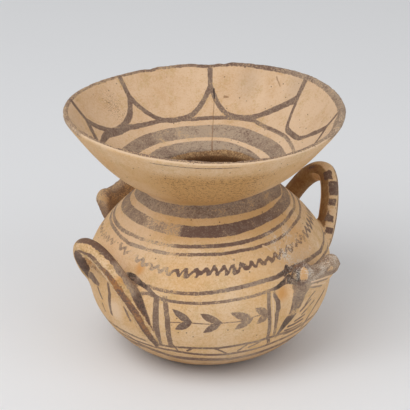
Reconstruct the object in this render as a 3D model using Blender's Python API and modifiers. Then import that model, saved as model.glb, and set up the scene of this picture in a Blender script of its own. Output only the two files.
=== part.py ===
"""Funnel-mouthed pottery olla: one hollow fired pot with two loop handles and two eared lugs."""
import math

import bmesh
import bpy
from mathutils import Matrix, Vector

# Driving sizes of the turned pot, in metres, +Z up, with the origin under the middle of the base
HEIGHT = 0.2220
RIM_RADIUS = 0.1200
LIP_THICKNESS = 0.0050
NECK_HEIGHT = 0.1545
NECK_RADIUS = 0.0560
BELLY_HEIGHT = 0.0720
BELLY_RADIUS = 0.1080
FOOT_RADIUS = 0.0460
WALL = 0.0060
FLOOR = 0.0070

# How full each run of the outline is: exponents, with no unit
LOWER_BODY_FULL = 1.34
SHOULDER_ROUND = 2.22
SHOULDER_FULL = 1.50
FUNNEL_CURL = 1.72

# Share of the funnel's rise that stands nearly upright just above the crease, and its exponent
NECK_UPRIGHT = 0.172
NECK_TURN = 0.40

# What the potter's hand left: the shoulder pushed sideways and tilted, the mouth leaning, the lip
# in a wave. The tilt is how far the neck rises to the right, in metres a metre
SHOULDER_SHIFT = 0.0015
SHOULDER_TILT = 0.039
MOUTH_SHIFT_X = -0.0031
MOUTH_SHIFT_Y = 0.0023
LIP_WAVE = 0.0028
LIP_WAVE_CREST = math.radians(124.0)
LIP_DIP = 0.0022
LIP_DIP_AZIMUTH = math.radians(178.0)
LIP_DIP_SPREAD = math.radians(6.0)

# Loop handles, each a round coil of clay. Azimuths run from the front, -Y, towards +X.
# Reach and rise of the apex are taken from the belly's widest line, and so are the roots' drops
HANDLE_DIAMETER = 0.0170
HANDLE_ROOT_FLARE = 1.30
HANDLE_FLARE_RUN = 3.0
HANDLE_ROOT_DEPTH = 0.0140
FRONT_HANDLE = {
    "apex_azimuth": math.radians(-53.7),
    "apex_reach": 0.0124,
    "apex_rise": 0.0507,
    "root_azimuths": (math.radians(-83.5), math.radians(-27.8)),
    "root_drops": (0.0068, 0.0275),
    "arch": 1.97,
    "incurve": 0.50,
}
BACK_HANDLE = {
    "apex_azimuth": math.radians(118.5),
    "apex_reach": 0.0135,
    "apex_rise": 0.0610,
    "root_azimuths": (math.radians(107.0), math.radians(144.0)),
    "root_drops": (0.0020, 0.0040),
    "arch": 1.6,
    "incurve": 0.4,
}

# Lugs: a tongue of clay that leaves the belly and ends in two round ears with a saddle between.
# Ear rise and foot drop are taken from the belly's widest line, stand-off from its surface.
# Side full is how full the left and the right side run, an exponent: less is fuller
LUG_THICKNESS = 0.0120
LUG_EDGE_ROUND = 0.0035
LUG_RELIEF = 0.0012
LUG_STAND_OFF = 0.0130
LUG_FOOT_WIDTH = 0.0120
LUG_EAR_RADIUS = 0.0090
LUG_EAR_FLATNESS = 0.80
LUG_SADDLE = 0.0060
BREAK_DEPTH = 0.0035
FRONT_LUG = {
    "azimuth": math.radians(51.0),
    "ear_rise": 0.0310,
    "ear_spacing": 0.0270,
    "ear_slope": -0.0015,
    "turn": math.radians(17.0),
    "foot_azimuth": math.radians(41.5),
    "foot_drop": 0.0270,
    "side_full": (1.20, 0.45),
    "broken_ear": -1,
}
BACK_LUG = {
    "azimuth": math.radians(-132.0),
    "ear_rise": 0.0400,
    "ear_spacing": 0.0300,
    "ear_slope": -0.0040,
    "turn": 0.0,
    "foot_azimuth": math.radians(-132.0),
    "foot_drop": 0.0200,
    "side_full": (1.00, 1.00),
    "broken_ear": 0,
}

# Fineness of the facets
TURN_STEPS = 60
LOWER_POINTS = 8
SHOULDER_POINTS = 9
FUNNEL_POINTS = 9
FUNNEL_CROWD = 1.5
LIP_POINTS = 4
HANDLE_STATIONS = 19
HANDLE_BEVEL_RESOLUTION = 4
EAR_SEGMENTS = 14
EAR_RINGS = 9
LUG_SIDE_POINTS = 5
LUG_CUTS = 5
MERGE = 0.00001
SHARP_EDGE = math.radians(40.0)

CLAY_COLOUR = (0.62, 0.44, 0.26, 1.0)
CLAY_ROUGHNESS = 0.8


def body_radius(height):
    """Outer radius of the turned body, from the foot to the crease under the funnel."""
    if height <= BELLY_HEIGHT:
        fall = 1.0 - max(height, 0.0) / BELLY_HEIGHT
        full = math.sqrt(1.0 - fall * fall) ** LOWER_BODY_FULL
        return FOOT_RADIUS + (BELLY_RADIUS - FOOT_RADIUS) * full
    rise = min((height - BELLY_HEIGHT) / (NECK_HEIGHT - BELLY_HEIGHT), 1.0)
    full = (1.0 - rise ** SHOULDER_ROUND) ** SHOULDER_FULL
    return NECK_RADIUS + (BELLY_RADIUS - NECK_RADIUS) * full


def body_outline():
    """Points (radius, height) up the outside of the body, closest together where it turns most."""
    points = []
    for step in range(LOWER_POINTS):
        turn = math.pi / 2 * step / LOWER_POINTS
        points.append(BELLY_HEIGHT * (1.0 - math.cos(turn)))
    for step in range(SHOULDER_POINTS + 1):
        points.append(BELLY_HEIGHT + (NECK_HEIGHT - BELLY_HEIGHT) * step / SHOULDER_POINTS)
    return [(body_radius(height), height) for height in points]


def funnel_outline():
    """Points up the outside of the funnel from past the crease, closest there, to where the lip rounds."""
    top = HEIGHT - LIP_THICKNESS
    points = []
    for step in range(1, FUNNEL_POINTS + 1):
        out = (step / FUNNEL_POINTS) ** FUNNEL_CROWD
        radius = NECK_RADIUS + (RIM_RADIUS - NECK_RADIUS) * out
        rise = (1.0 - NECK_UPRIGHT) * out ** FUNNEL_CURL + NECK_UPRIGHT * out ** NECK_TURN
        points.append((radius, NECK_HEIGHT + (top - NECK_HEIGHT) * rise))
    return points


def inset(points, depths):
    """The outline moved into the clay, square to itself, by a depth at each point."""
    moved = []
    for at, (radius, height) in enumerate(points):
        before = points[max(at - 1, 0)]
        after = points[min(at + 1, len(points) - 1)]
        along = Vector((after[0] - before[0], after[1] - before[1])).normalized()
        moved.append((radius - along.y * depths[at], height + along.x * depths[at]))
    return moved


def lip_round(outer, inner):
    """Half circle over the lip, from its inner edge to its outer one."""
    middle = (Vector(outer) + Vector(inner)) / 2
    arm = Vector(inner) - middle
    points = []
    for step in range(1, LIP_POINTS):
        turn = -math.pi * step / LIP_POINTS
        points.append((
            middle.x + arm.x * math.cos(turn) - arm.y * math.sin(turn),
            middle.y + arm.x * math.sin(turn) + arm.y * math.cos(turn),
        ))
    return points


def turned(name, outline):
    """A closed solid of revolution from (radius, height) points that run down the outer side."""
    mesh = bpy.data.meshes.new(name)
    mesh.from_pydata(
        [(radius, 0.0, height) for radius, height in outline],
        [(at, at + 1) for at in range(len(outline) - 1)],
        [],
    )
    thing = bpy.data.objects.new(name, mesh)
    bpy.context.scene.collection.objects.link(thing)
    screw = thing.modifiers.new("Turn", "SCREW")
    screw.steps = TURN_STEPS
    screw.render_steps = TURN_STEPS
    screw.use_merge_vertices = True
    screw.merge_threshold = MERGE
    return as_mesh(thing)


def as_mesh(thing):
    """Replace an object by its evaluated mesh, in world space, with its loose caps welded."""
    depsgraph = bpy.context.evaluated_depsgraph_get()
    mesh = bpy.data.meshes.new_from_object(thing.evaluated_get(depsgraph))
    mesh.transform(thing.matrix_world)
    name = thing.name
    bpy.data.objects.remove(thing)
    shape = bmesh.new()
    shape.from_mesh(mesh)
    bmesh.ops.remove_doubles(shape, verts=shape.verts, dist=MERGE)
    shape.to_mesh(mesh)
    shape.free()
    solid = bpy.data.objects.new(name, mesh)
    bpy.context.scene.collection.objects.link(solid)
    return solid


def combine(target, tool, operation):
    """Boolean a second solid into the first, and drop the second."""
    step = target.modifiers.new(operation.title(), "BOOLEAN")
    step.operation = operation
    step.solver = "EXACT"
    step.object = tool
    result = as_mesh(target)
    bpy.data.objects.remove(tool)
    return result


def pot_wall():
    """The turned pot: an even wall up the body and funnel, a rounded lip and a flat base."""
    outer = body_outline() + funnel_outline()
    body_count = len(outer) - FUNNEL_POINTS
    depths = [WALL] * body_count
    for step in range(1, FUNNEL_POINTS + 1):
        depths.append(WALL + (LIP_THICKNESS - WALL) * step / FUNNEL_POINTS)
    inner = [point for point in inset(outer, depths) if point[1] > FLOOR]
    floor_edge = min(inner[0][0], FOOT_RADIUS + WALL)
    outline = [(0.0, FLOOR), (floor_edge - WALL, FLOOR)] + inner
    outline += lip_round(outer[-1], inner[-1])
    outline += list(reversed(outer)) + [(0.0, 0.0)]
    return turned("olla", outline)


def wall_core():
    """The body's inside up to the middle of its wall: what handles and lugs are trimmed to."""
    shell = inset(body_outline(), [WALL / 2] * (LOWER_POINTS + SHOULDER_POINTS + 1))
    outline = [(0.0, shell[-1][1])] + list(reversed(shell)) + [(0.0, shell[0][1])]
    return turned("core", outline)


def around(azimuth, radius, height):
    """A point given by its azimuth from the front, its distance from the axis and its height."""
    return Vector((radius * math.sin(azimuth), -radius * math.cos(azimuth), height))


def handle_point(handle, along):
    """Point of a handle's middle line: along runs from -1 at one root over 0 to +1 at the other."""
    end = 0 if along < 0 else 1
    apex_azimuth = handle["apex_azimuth"]
    apex_height = BELLY_HEIGHT + handle["apex_rise"]
    apex_radius = BELLY_RADIUS + handle["apex_reach"]
    root_height = BELLY_HEIGHT - handle["root_drops"][end]
    root_radius = body_radius(root_height) - HANDLE_ROOT_DEPTH
    turn = abs(along) * math.pi / 2
    azimuth = apex_azimuth + (handle["root_azimuths"][end] - apex_azimuth) * math.sin(turn)
    rise = math.cos(turn) ** handle["arch"]
    height = root_height + (apex_height - root_height) * rise
    radius = root_radius + (apex_radius - root_radius) * rise ** handle["incurve"]
    return around(azimuth, radius, height)


def loop_handle(name, handle):
    """A round coil bent into an arch, thicker where it is pressed onto the body."""
    curve = bpy.data.curves.new(name, "CURVE")
    curve.dimensions = "3D"
    curve.bevel_depth = HANDLE_DIAMETER / 2
    curve.bevel_resolution = HANDLE_BEVEL_RESOLUTION
    curve.use_fill_caps = True
    spline = curve.splines.new("POLY")
    spline.points.add(HANDLE_STATIONS - 1)
    for at, point in enumerate(spline.points):
        along = 2.0 * at / (HANDLE_STATIONS - 1) - 1.0
        point.co = (*handle_point(handle, along), 1.0)
        point.radius = 1.0 + (HANDLE_ROOT_FLARE - 1.0) * abs(along) ** HANDLE_FLARE_RUN
    thing = bpy.data.objects.new(name, curve)
    bpy.context.scene.collection.objects.link(thing)
    return as_mesh(thing)


def lug_place(lug, across, height, out):
    """Where a point of the flat tongue ends up: round the belly, and out from it above the widest."""
    azimuth = lug["azimuth"] + across / BELLY_RADIUS
    rise = (height - BELLY_HEIGHT) / lug["ear_rise"]
    face = body_radius(min(height, BELLY_HEIGHT)) + LUG_RELIEF
    if rise > 0.0:
        face += rise * (LUG_STAND_OFF + across * math.tan(lug["turn"]))
    return around(azimuth, face - LUG_THICKNESS / 2 + out, height)


def lug_ears(lug):
    """Flat places (across, height) of the two ears."""
    half = lug["ear_spacing"] / 2
    level = BELLY_HEIGHT + lug["ear_rise"]
    return [(side * half, level + side * lug["ear_slope"] / 2) for side in (-1, 1)]


def tongue(name, lug):
    """The tongue: a flat outline, narrow at the foot and notched at the top, bent onto the pot."""
    left, right = lug_ears(lug)
    toe = BELLY_HEIGHT - lug["foot_drop"]
    sides = {}
    for side, top, full in ((-1, left, lug["side_full"][0]), (1, right, lug["side_full"][1])):
        foot = (lug["foot_azimuth"] - lug["azimuth"]) * BELLY_RADIUS + side * LUG_FOOT_WIDTH / 2
        hip = top[0] + side * LUG_EAR_RADIUS * LUG_EAR_FLATNESS
        sides[side] = []
        for step in range(LUG_SIDE_POINTS + 1):
            up = step / LUG_SIDE_POINTS
            spread = math.sin(up * math.pi / 2) ** full
            height = toe + (top[1] - toe) * up
            sides[side].append((foot + (hip - foot) * spread, height))
        sides[side].append((top[0], top[1] + LUG_EAR_RADIUS / 2))
    saddle = (0.0, (left[1] + right[1]) / 2 + LUG_EAR_RADIUS - LUG_SADDLE)
    outline = sides[1] + [saddle] + sides[-1][::-1]
    curve = bpy.data.curves.new(name, "CURVE")
    curve.dimensions = "2D"
    curve.fill_mode = "BOTH"
    curve.extrude = LUG_THICKNESS / 2 - LUG_EDGE_ROUND
    curve.bevel_depth = LUG_EDGE_ROUND
    curve.bevel_resolution = 1
    curve.offset = -LUG_EDGE_ROUND
    spline = curve.splines.new("POLY")
    spline.points.add(len(outline) - 1)
    for point, (across, height) in zip(spline.points, outline):
        point.co = (across, height, 0.0, 1.0)
    spline.use_cyclic_u = True
    thing = bpy.data.objects.new(name, curve)
    bpy.context.scene.collection.objects.link(thing)
    solid = as_mesh(thing)

    shape = bmesh.new()
    shape.from_mesh(solid.data)
    for normal in (Vector((1, 0, 0)), Vector((0, 1, 0))):
        reach = [vert.co.dot(normal) for vert in shape.verts]
        for step in range(1, LUG_CUTS + 1):
            at = min(reach) + (max(reach) - min(reach)) * step / (LUG_CUTS + 1)
            everything = shape.verts[:] + shape.edges[:] + shape.faces[:]
            bmesh.ops.bisect_plane(shape, geom=everything, plane_co=normal * at, plane_no=normal)
    bmesh.ops.triangulate(shape, faces=shape.faces)
    for vert in shape.verts:
        vert.co = lug_place(lug, *vert.co)
    bmesh.ops.recalc_face_normals(shape, faces=shape.faces)
    shape.to_mesh(solid.data)
    shape.free()
    return solid


def ear(name, lug, side):
    """A ball of clay at one upper corner of the tongue, cut off flat where it has broken away."""
    across, height = lug_ears(lug)[0 if side < 0 else 1]
    middle = lug_place(lug, across, height, 0.0)
    shape = bmesh.new()
    bmesh.ops.create_uvsphere(
        shape, u_segments=EAR_SEGMENTS, v_segments=EAR_RINGS, radius=LUG_EAR_RADIUS
    )
    flatten = Matrix.Scale(LUG_EAR_FLATNESS, 3, Vector((0, 1, 0)))
    facing = Matrix.Rotation(lug["azimuth"] - lug["turn"], 3, "Z")
    bmesh.ops.transform(shape, matrix=(facing @ flatten).to_4x4(), verts=shape.verts)
    bmesh.ops.translate(shape, verts=shape.verts, vec=middle)
    if side == lug["broken_ear"]:
        outward = lug_place(lug, across + side * LUG_EAR_RADIUS / 2, height, LUG_THICKNESS) - middle
        outward.normalize()
        cut = bmesh.ops.bisect_plane(
            shape, geom=shape.verts[:] + shape.edges[:] + shape.faces[:],
            plane_co=middle + outward * (LUG_EAR_RADIUS - BREAK_DEPTH),
            plane_no=outward, clear_outer=True,
        )
        rim = [part for part in cut["geom_cut"] if isinstance(part, bmesh.types.BMEdge)]
        bmesh.ops.contextual_create(shape, geom=rim)
    mesh = bpy.data.meshes.new(name)
    shape.to_mesh(mesh)
    shape.free()
    solid = bpy.data.objects.new(name, mesh)
    bpy.context.scene.collection.objects.link(solid)
    return solid


def eared_lug(name, lug):
    """Tongue and both ears as one solid."""
    solid = tongue(name, lug)
    for side in (-1, 1):
        solid = combine(solid, ear(name + "_ear", lug, side), "UNION")
    return solid


def hand_made(mesh):
    """Lean the mouth, push and tilt the shoulder and wave the lip, as on a pot raised by hand."""
    for vert in mesh.vertices:
        x, y, z = vert.co
        shoulder = max(0.0, math.sin(math.pi * min(z / NECK_HEIGHT, 1.0)))
        mouth = min(max((z - NECK_HEIGHT) / (HEIGHT - NECK_HEIGHT), 0.0), 1.0)
        azimuth = math.atan2(x, -y)
        wave = LIP_WAVE * math.cos(2.0 * (azimuth - LIP_WAVE_CREST))
        off_dip = math.remainder(azimuth - LIP_DIP_AZIMUTH, 2.0 * math.pi) / LIP_DIP_SPREAD
        dip = LIP_DIP * math.exp(-off_dip * off_dip)
        vert.co.x = x + SHOULDER_SHIFT * shoulder + MOUTH_SHIFT_X * mouth
        vert.co.y = y + MOUTH_SHIFT_Y * mouth
        neck = min(max((z - BELLY_HEIGHT) / (NECK_HEIGHT - BELLY_HEIGHT), 0.0), 1.0)
        vert.co.z = z + SHOULDER_TILT * x * neck * (1.0 - mouth) + (wave - dip * mouth) * mouth ** 2


def main():
    """Turn the pot, put on its handles and lugs, and give it the clay's colour."""
    for thing in list(bpy.data.objects):
        bpy.data.objects.remove(thing)
    pot = pot_wall()
    for name, handle in (("front_handle", FRONT_HANDLE), ("back_handle", BACK_HANDLE)):
        pot = combine(pot, combine(loop_handle(name, handle), wall_core(), "DIFFERENCE"), "UNION")
    for name, lug in (("front_lug", FRONT_LUG), ("back_lug", BACK_LUG)):
        pot = combine(pot, combine(eared_lug(name, lug), wall_core(), "DIFFERENCE"), "UNION")
    hand_made(pot.data)

    clay = bpy.data.materials.new("slipped earthenware")
    clay.use_nodes = True
    shader = clay.node_tree.nodes["Principled BSDF"]
    shader.inputs["Base Color"].default_value = CLAY_COLOUR
    shader.inputs["Roughness"].default_value = CLAY_ROUGHNESS
    shader.inputs["Metallic"].default_value = 0.0
    pot.data.materials.clear()
    pot.data.materials.append(clay)
    pot.data.shade_smooth()
    pot.data.set_sharp_from_angle(angle=SHARP_EDGE)

    group = bpy.data.collections.new("olla")
    bpy.context.scene.collection.children.link(group)
    group.objects.link(pot)
    bpy.context.scene.collection.objects.unlink(pot)


main()
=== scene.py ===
"""A funnel-mouthed pottery olla with worn dark painting on buff slip, modelled over its CAD."""
import math

import bpy
import numpy as np
from mathutils import Matrix, Vector, noise
from mathutils.bvhtree import BVHTree


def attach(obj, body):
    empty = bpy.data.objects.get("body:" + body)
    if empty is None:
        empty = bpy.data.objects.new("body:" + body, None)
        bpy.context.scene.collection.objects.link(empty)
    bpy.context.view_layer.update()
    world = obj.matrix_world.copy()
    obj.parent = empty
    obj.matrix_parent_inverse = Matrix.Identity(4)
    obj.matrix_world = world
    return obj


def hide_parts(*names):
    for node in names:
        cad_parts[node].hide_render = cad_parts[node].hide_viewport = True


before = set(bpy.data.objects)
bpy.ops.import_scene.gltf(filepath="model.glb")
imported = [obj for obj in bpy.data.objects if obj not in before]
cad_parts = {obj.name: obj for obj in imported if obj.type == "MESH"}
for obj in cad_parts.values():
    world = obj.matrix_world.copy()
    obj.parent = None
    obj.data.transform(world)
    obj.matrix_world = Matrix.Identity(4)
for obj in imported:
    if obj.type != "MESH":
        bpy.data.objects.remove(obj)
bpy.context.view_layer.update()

# Sizes of the pot in metres, as the CAD has them. Azimuths run from the front, -Y, towards +X
HEIGHT = 0.2220
RIM_RADIUS = 0.1200
LIP_THICKNESS = 0.0050
NECK_HEIGHT = 0.1545
NECK_RADIUS = 0.0560
BELLY_HEIGHT = 0.0720
BELLY_RADIUS = 0.1080
FOOT_RADIUS = 0.0460
WALL = 0.0060
FLOOR = 0.0070
LOWER_BODY_FULL = 1.34
SHOULDER_ROUND = 2.22
SHOULDER_FULL = 1.50
FUNNEL_CURL = 1.72
NECK_UPRIGHT = 0.172
NECK_TURN = 0.40
SHOULDER_SHIFT = 0.0015
SHOULDER_TILT = 0.039
MOUTH_SHIFT = (-0.0031, 0.0023)
LIP_WAVE = 0.0028
LIP_WAVE_CREST = math.radians(124.0)
LIP_DIP = 0.0022
LIP_DIP_AZIMUTH = math.radians(178.0)
LIP_DIP_SPREAD = math.radians(6.0)

HANDLE_DIAMETER = 0.0170
HANDLE_ROOT_FLARE = 1.30
HANDLE_FLARE_RUN = 3.0
HANDLE_ROOT_DEPTH = 0.0140
HANDLE_FLATNESS = 0.94
FRONT_HANDLE = {
    "apex_azimuth": math.radians(-53.7),
    "apex_reach": 0.0124,
    "apex_rise": 0.0507,
    "root_azimuths": (math.radians(-83.5), math.radians(-27.8)),
    "root_drops": (0.0068, 0.0275),
    "arch": 1.97,
    "incurve": 0.50,
}
BACK_HANDLE = {
    "apex_azimuth": math.radians(118.5),
    "apex_reach": 0.0135,
    "apex_rise": 0.0610,
    "root_azimuths": (math.radians(107.0), math.radians(144.0)),
    "root_drops": (0.0020, 0.0040),
    "arch": 1.6,
    "incurve": 0.4,
}

LUG_THICKNESS = 0.0120
LUG_RELIEF = 0.0012
LUG_STAND_OFF = 0.0130
LUG_FOOT_WIDTH = 0.0120
LUG_EAR_RADIUS = 0.0090
LUG_EAR_FLATNESS = 0.80
LUG_SADDLE = 0.0060
BREAK_DEPTH = 0.0035
FRONT_LUG = {
    "azimuth": math.radians(51.0),
    "ear_rise": 0.0310,
    "ear_spacing": 0.0270,
    "ear_slope": -0.0015,
    "turn": math.radians(17.0),
    "foot_azimuth": math.radians(41.5),
    "foot_drop": 0.0270,
    "side_full": (1.20, 0.45),
    "broken_ear": -1,
}
BACK_LUG = {
    "azimuth": math.radians(-132.0),
    "ear_rise": 0.0400,
    "ear_spacing": 0.0300,
    "ear_slope": -0.0040,
    "turn": 0.0,
    "foot_azimuth": math.radians(-132.0),
    "foot_drop": 0.0200,
    "side_full": (1.00, 1.00),
    "broken_ear": 0,
}

# Wear in metres. Chips out of the lip: azimuth and width in degrees, and depth
LIP_CHIPS = (
    (66, 1.2, 0.0018), (-62, 2.6, 0.0010), (-38, 3.0, 0.0009), (-18, 2.0, 0.0008),
    (-84, 2.2, 0.0009), (12, 1.6, 0.0007), (171, 2.0, 0.0010), (-155, 1.8, 0.0008),
)
LIP_WEAR_TOP = 0.0010
LIP_WEAR_DOWN = 0.0075
LIP_WEAR_IN = 0.0150
LIP_MOST_RAISED = 0.0004
SMEAR_REACH = 0.0070
SMEAR_ROUNDS = 30

# Layers of unevenness: how far each moves the clay, lumps to the metre, and where its noise begins
LIP_UNEVEN = ((0.00035, 160.0, 1), (0.00030, 420.0, 2))
WALL_UNEVEN = ((0.00045, 28.0, 3), (0.00020, 85.0, 4))

# The photograph's camera: focal length and width in pixels, place in metres, degrees looked down
FOCAL_PIXELS = 1500.0
PHOTO_PIXELS = 410.0
CAMERA_PLACE = (-0.0024, -1.1966, 0.6753)
CAMERA_DOWN = 24.5

# Fineness of the mesh
BELLY_RINGS = 26
UPPER_RINGS = 36
TURN_STEPS = 240
CORE_STEPS = 120
COIL_SIDES = 36
HANDLE_STEPS = 96
LUG_STEPS = 12
LUG_VOXEL = 0.0010
VOXEL = 0.0015
HIDDEN_SHARE = 0.06
MOST_TRIANGLES = 196000


def body_radius(height):
    """Outer radius of the turned body, from the foot to the crease under the funnel."""
    if height <= BELLY_HEIGHT:
        fall = 1.0 - max(height, 0.0) / BELLY_HEIGHT
        full = math.sqrt(1.0 - fall * fall) ** LOWER_BODY_FULL
        return FOOT_RADIUS + (BELLY_RADIUS - FOOT_RADIUS) * full
    rise = min((height - BELLY_HEIGHT) / (NECK_HEIGHT - BELLY_HEIGHT), 1.0)
    full = (1.0 - rise ** SHOULDER_ROUND) ** SHOULDER_FULL
    return NECK_RADIUS + (BELLY_RADIUS - NECK_RADIUS) * full


def outer_outline():
    """(radius, height) points up the outside, from the edge of the foot to the lip."""
    points = []
    for step in range(BELLY_RINGS):
        height = BELLY_HEIGHT * (1.0 - math.cos(math.pi / 2 * step / BELLY_RINGS))
        points.append((body_radius(height), height))
    for step in range(UPPER_RINGS + 1):
        height = BELLY_HEIGHT + (NECK_HEIGHT - BELLY_HEIGHT) * step / UPPER_RINGS
        points.append((body_radius(height), height))
    top = HEIGHT - LIP_THICKNESS
    for step in range(1, UPPER_RINGS + 1):
        out = (step / UPPER_RINGS) ** 1.5
        radius = NECK_RADIUS + (RIM_RADIUS - NECK_RADIUS) * out
        rise = (1.0 - NECK_UPRIGHT) * out ** FUNNEL_CURL + NECK_UPRIGHT * out ** NECK_TURN
        points.append((radius, NECK_HEIGHT + (top - NECK_HEIGHT) * rise))
    return points


def wall_depth(radius, height):
    """The wall's thickness: even up the body, then thinning towards the lip."""
    if height <= NECK_HEIGHT:
        return WALL
    return WALL + (LIP_THICKNESS - WALL) * (radius - NECK_RADIUS) / (RIM_RADIUS - NECK_RADIUS)


def inset(points, share):
    """The outline moved into the clay, square to itself, by a share of the wall's thickness."""
    moved = []
    for at, (radius, height) in enumerate(points):
        before, after = points[max(at - 1, 0)], points[min(at + 1, len(points) - 1)]
        along = Vector((after[0] - before[0], after[1] - before[1])).normalized()
        depth = wall_depth(radius, height) * share
        moved.append((radius - along.y * depth, height + along.x * depth))
    return moved


def wall_outline():
    """The closed wall's outline: up the outside, over the lip and down the inside to the floor."""
    outer = outer_outline()
    inner = [point for point in inset(outer, 1.0) if point[1] > FLOOR]
    middle = (Vector(outer[-1]) + Vector(inner[-1])) / 2
    arm = Vector(outer[-1]) - middle
    lip = []
    for step in range(1, 8):
        turn = math.pi * step / 8
        lip.append((
            middle.x + arm.x * math.cos(turn) - arm.y * math.sin(turn),
            middle.y + arm.x * math.sin(turn) + arm.y * math.cos(turn),
        ))
    return outer + lip + inner[::-1] + [(min(inner[0][0], FOOT_RADIUS), FLOOR)]


def only(thing):
    """Select one object and make it the active one."""
    bpy.ops.object.select_all(action="DESELECT")
    thing.select_set(True)
    bpy.context.view_layer.objects.active = thing


def apply_modifier(thing, kind, **settings):
    """Put a modifier on an object and apply it."""
    only(thing)
    step = thing.modifiers.new(kind.title(), kind)
    for name, value in settings.items():
        setattr(step, name, value)
    bpy.ops.object.modifier_apply(modifier=step.name)


def read(thing, field="co"):
    """The object's vertices as an array of places or of another of their vectors."""
    flat = np.empty(len(thing.data.vertices) * 3)
    thing.data.vertices.foreach_get(field, flat)
    return flat.reshape(-1, 3)


def write_points(thing, points):
    """Move the object's vertices to these places."""
    thing.data.vertices.foreach_set("co", np.ascontiguousarray(points).ravel())
    thing.data.update()


def added(name, add, **settings):
    """A new primitive, by its operator, with its place put into its mesh."""
    bpy.ops.object.select_all(action="DESELECT")
    add(**settings)
    thing = bpy.context.object
    thing.name = name
    settle(thing)
    return thing


def settle(thing):
    """Put an object's place and turn into its mesh."""
    only(thing)
    bpy.ops.object.transform_apply(location=True, rotation=True, scale=True)


def edit(thing):
    """Go into the object's edit mode with all of it selected."""
    only(thing)
    bpy.ops.object.mode_set(mode="EDIT")
    bpy.ops.mesh.select_all(action="SELECT")


def close_edit():
    """Face all of the mesh outwards and leave edit mode."""
    bpy.ops.mesh.select_all(action="SELECT")
    bpy.ops.mesh.normals_make_consistent(inside=False)
    bpy.ops.object.mode_set(mode="OBJECT")


def drawn_up(name, outline, sides):
    """A disc drawn up ring by ring through an outline's (radius, height) points."""
    radius, height = outline[0]
    thing = added(
        name, bpy.ops.mesh.primitive_circle_add,
        vertices=sides, radius=radius, fill_type="NGON", location=(0, 0, height),
    )
    edit(thing)
    for next_radius, next_height in outline[1:]:
        bpy.ops.mesh.extrude_region_move(
            TRANSFORM_OT_translate={"value": (0, 0, next_height - height)}
        )
        if next_radius != radius:
            grow = next_radius / radius
            bpy.ops.transform.resize(value=(grow, grow, 1.0), center_override=(0, 0, next_height))
        radius, height = next_radius, next_height
    close_edit()
    return thing


def around(azimuth, radius, height):
    """A point given by its azimuth from the front, its distance from the axis and its height."""
    return Vector((radius * math.sin(azimuth), -radius * math.cos(azimuth), height))


def handle_point(handle, along):
    """Point of a handle's middle line: along runs from -1 at one root over 0 to +1 at the other."""
    end = 0 if along < 0 else 1
    apex_azimuth = handle["apex_azimuth"]
    apex_height = BELLY_HEIGHT + handle["apex_rise"]
    apex_radius = BELLY_RADIUS + handle["apex_reach"]
    root_height = BELLY_HEIGHT - handle["root_drops"][end]
    root_radius = body_radius(root_height) - HANDLE_ROOT_DEPTH
    turn = abs(along) * math.pi / 2
    azimuth = apex_azimuth + (handle["root_azimuths"][end] - apex_azimuth) * math.sin(turn)
    rise = math.cos(turn) ** handle["arch"]
    height = root_height + (apex_height - root_height) * rise
    radius = root_radius + (apex_radius - root_radius) * rise ** handle["incurve"]
    return around(azimuth, radius, height)


def handle_frames(handle):
    """Stations down a handle: along, middle point, outward and sideways directions, coil radius."""
    stations = []
    for step in range(HANDLE_STEPS + 1):
        along = 2.0 * step / HANDLE_STEPS - 1.0
        middle = handle_point(handle, along)
        after, before = min(along + 0.01, 1.0), max(along - 0.01, -1.0)
        run = (handle_point(handle, after) - handle_point(handle, before)).normalized()
        out = Vector((middle.x, middle.y, 0.0)).normalized()
        out = (out - run * out.dot(run)).normalized()
        swell = 1.0 + (HANDLE_ROOT_FLARE - 1.0) * abs(along) ** HANDLE_FLARE_RUN
        stations.append((along, middle, out, run.cross(out), swell * HANDLE_DIAMETER / 2))
    return [np.array(column) for column in zip(*stations)]


def loop_handle(name, handle):
    """A coil drawn out straight, then bent over the handle's arch and pushed into the wall."""
    straight = 0.01
    rings = [(straight, float(at)) for at in range(HANDLE_STEPS + 1)]
    coil = drawn_up(name, rings, COIL_SIDES)
    points = read(coil)
    at = np.rint(points[:, 2]).astype(int)
    _, middle, out, side, size = [column[at] for column in handle_frames(handle)]
    bent = points[:, :1] * HANDLE_FLATNESS * out + points[:, 1:2] * side
    write_points(coil, middle + size[:, None] / straight * bent)
    return coil


def lug_place(lug, across, height, out):
    """Where a point of the flat tongue ends up: round the belly, leaning out above its widest."""
    azimuth = lug["azimuth"] + across / BELLY_RADIUS
    rise = (height - BELLY_HEIGHT) / lug["ear_rise"]
    face = body_radius(min(height, BELLY_HEIGHT)) + LUG_RELIEF
    if rise > 0.0:
        face += rise * (LUG_STAND_OFF + across * math.tan(lug["turn"]))
    return around(azimuth, face - LUG_THICKNESS / 2 + out, height)


def lug_ears(lug):
    """Flat places (across, height) of the two ears."""
    half = lug["ear_spacing"] / 2
    level = BELLY_HEIGHT + lug["ear_rise"]
    return [(side * half, level + side * lug["ear_slope"] / 2) for side in (-1, 1)]


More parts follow.
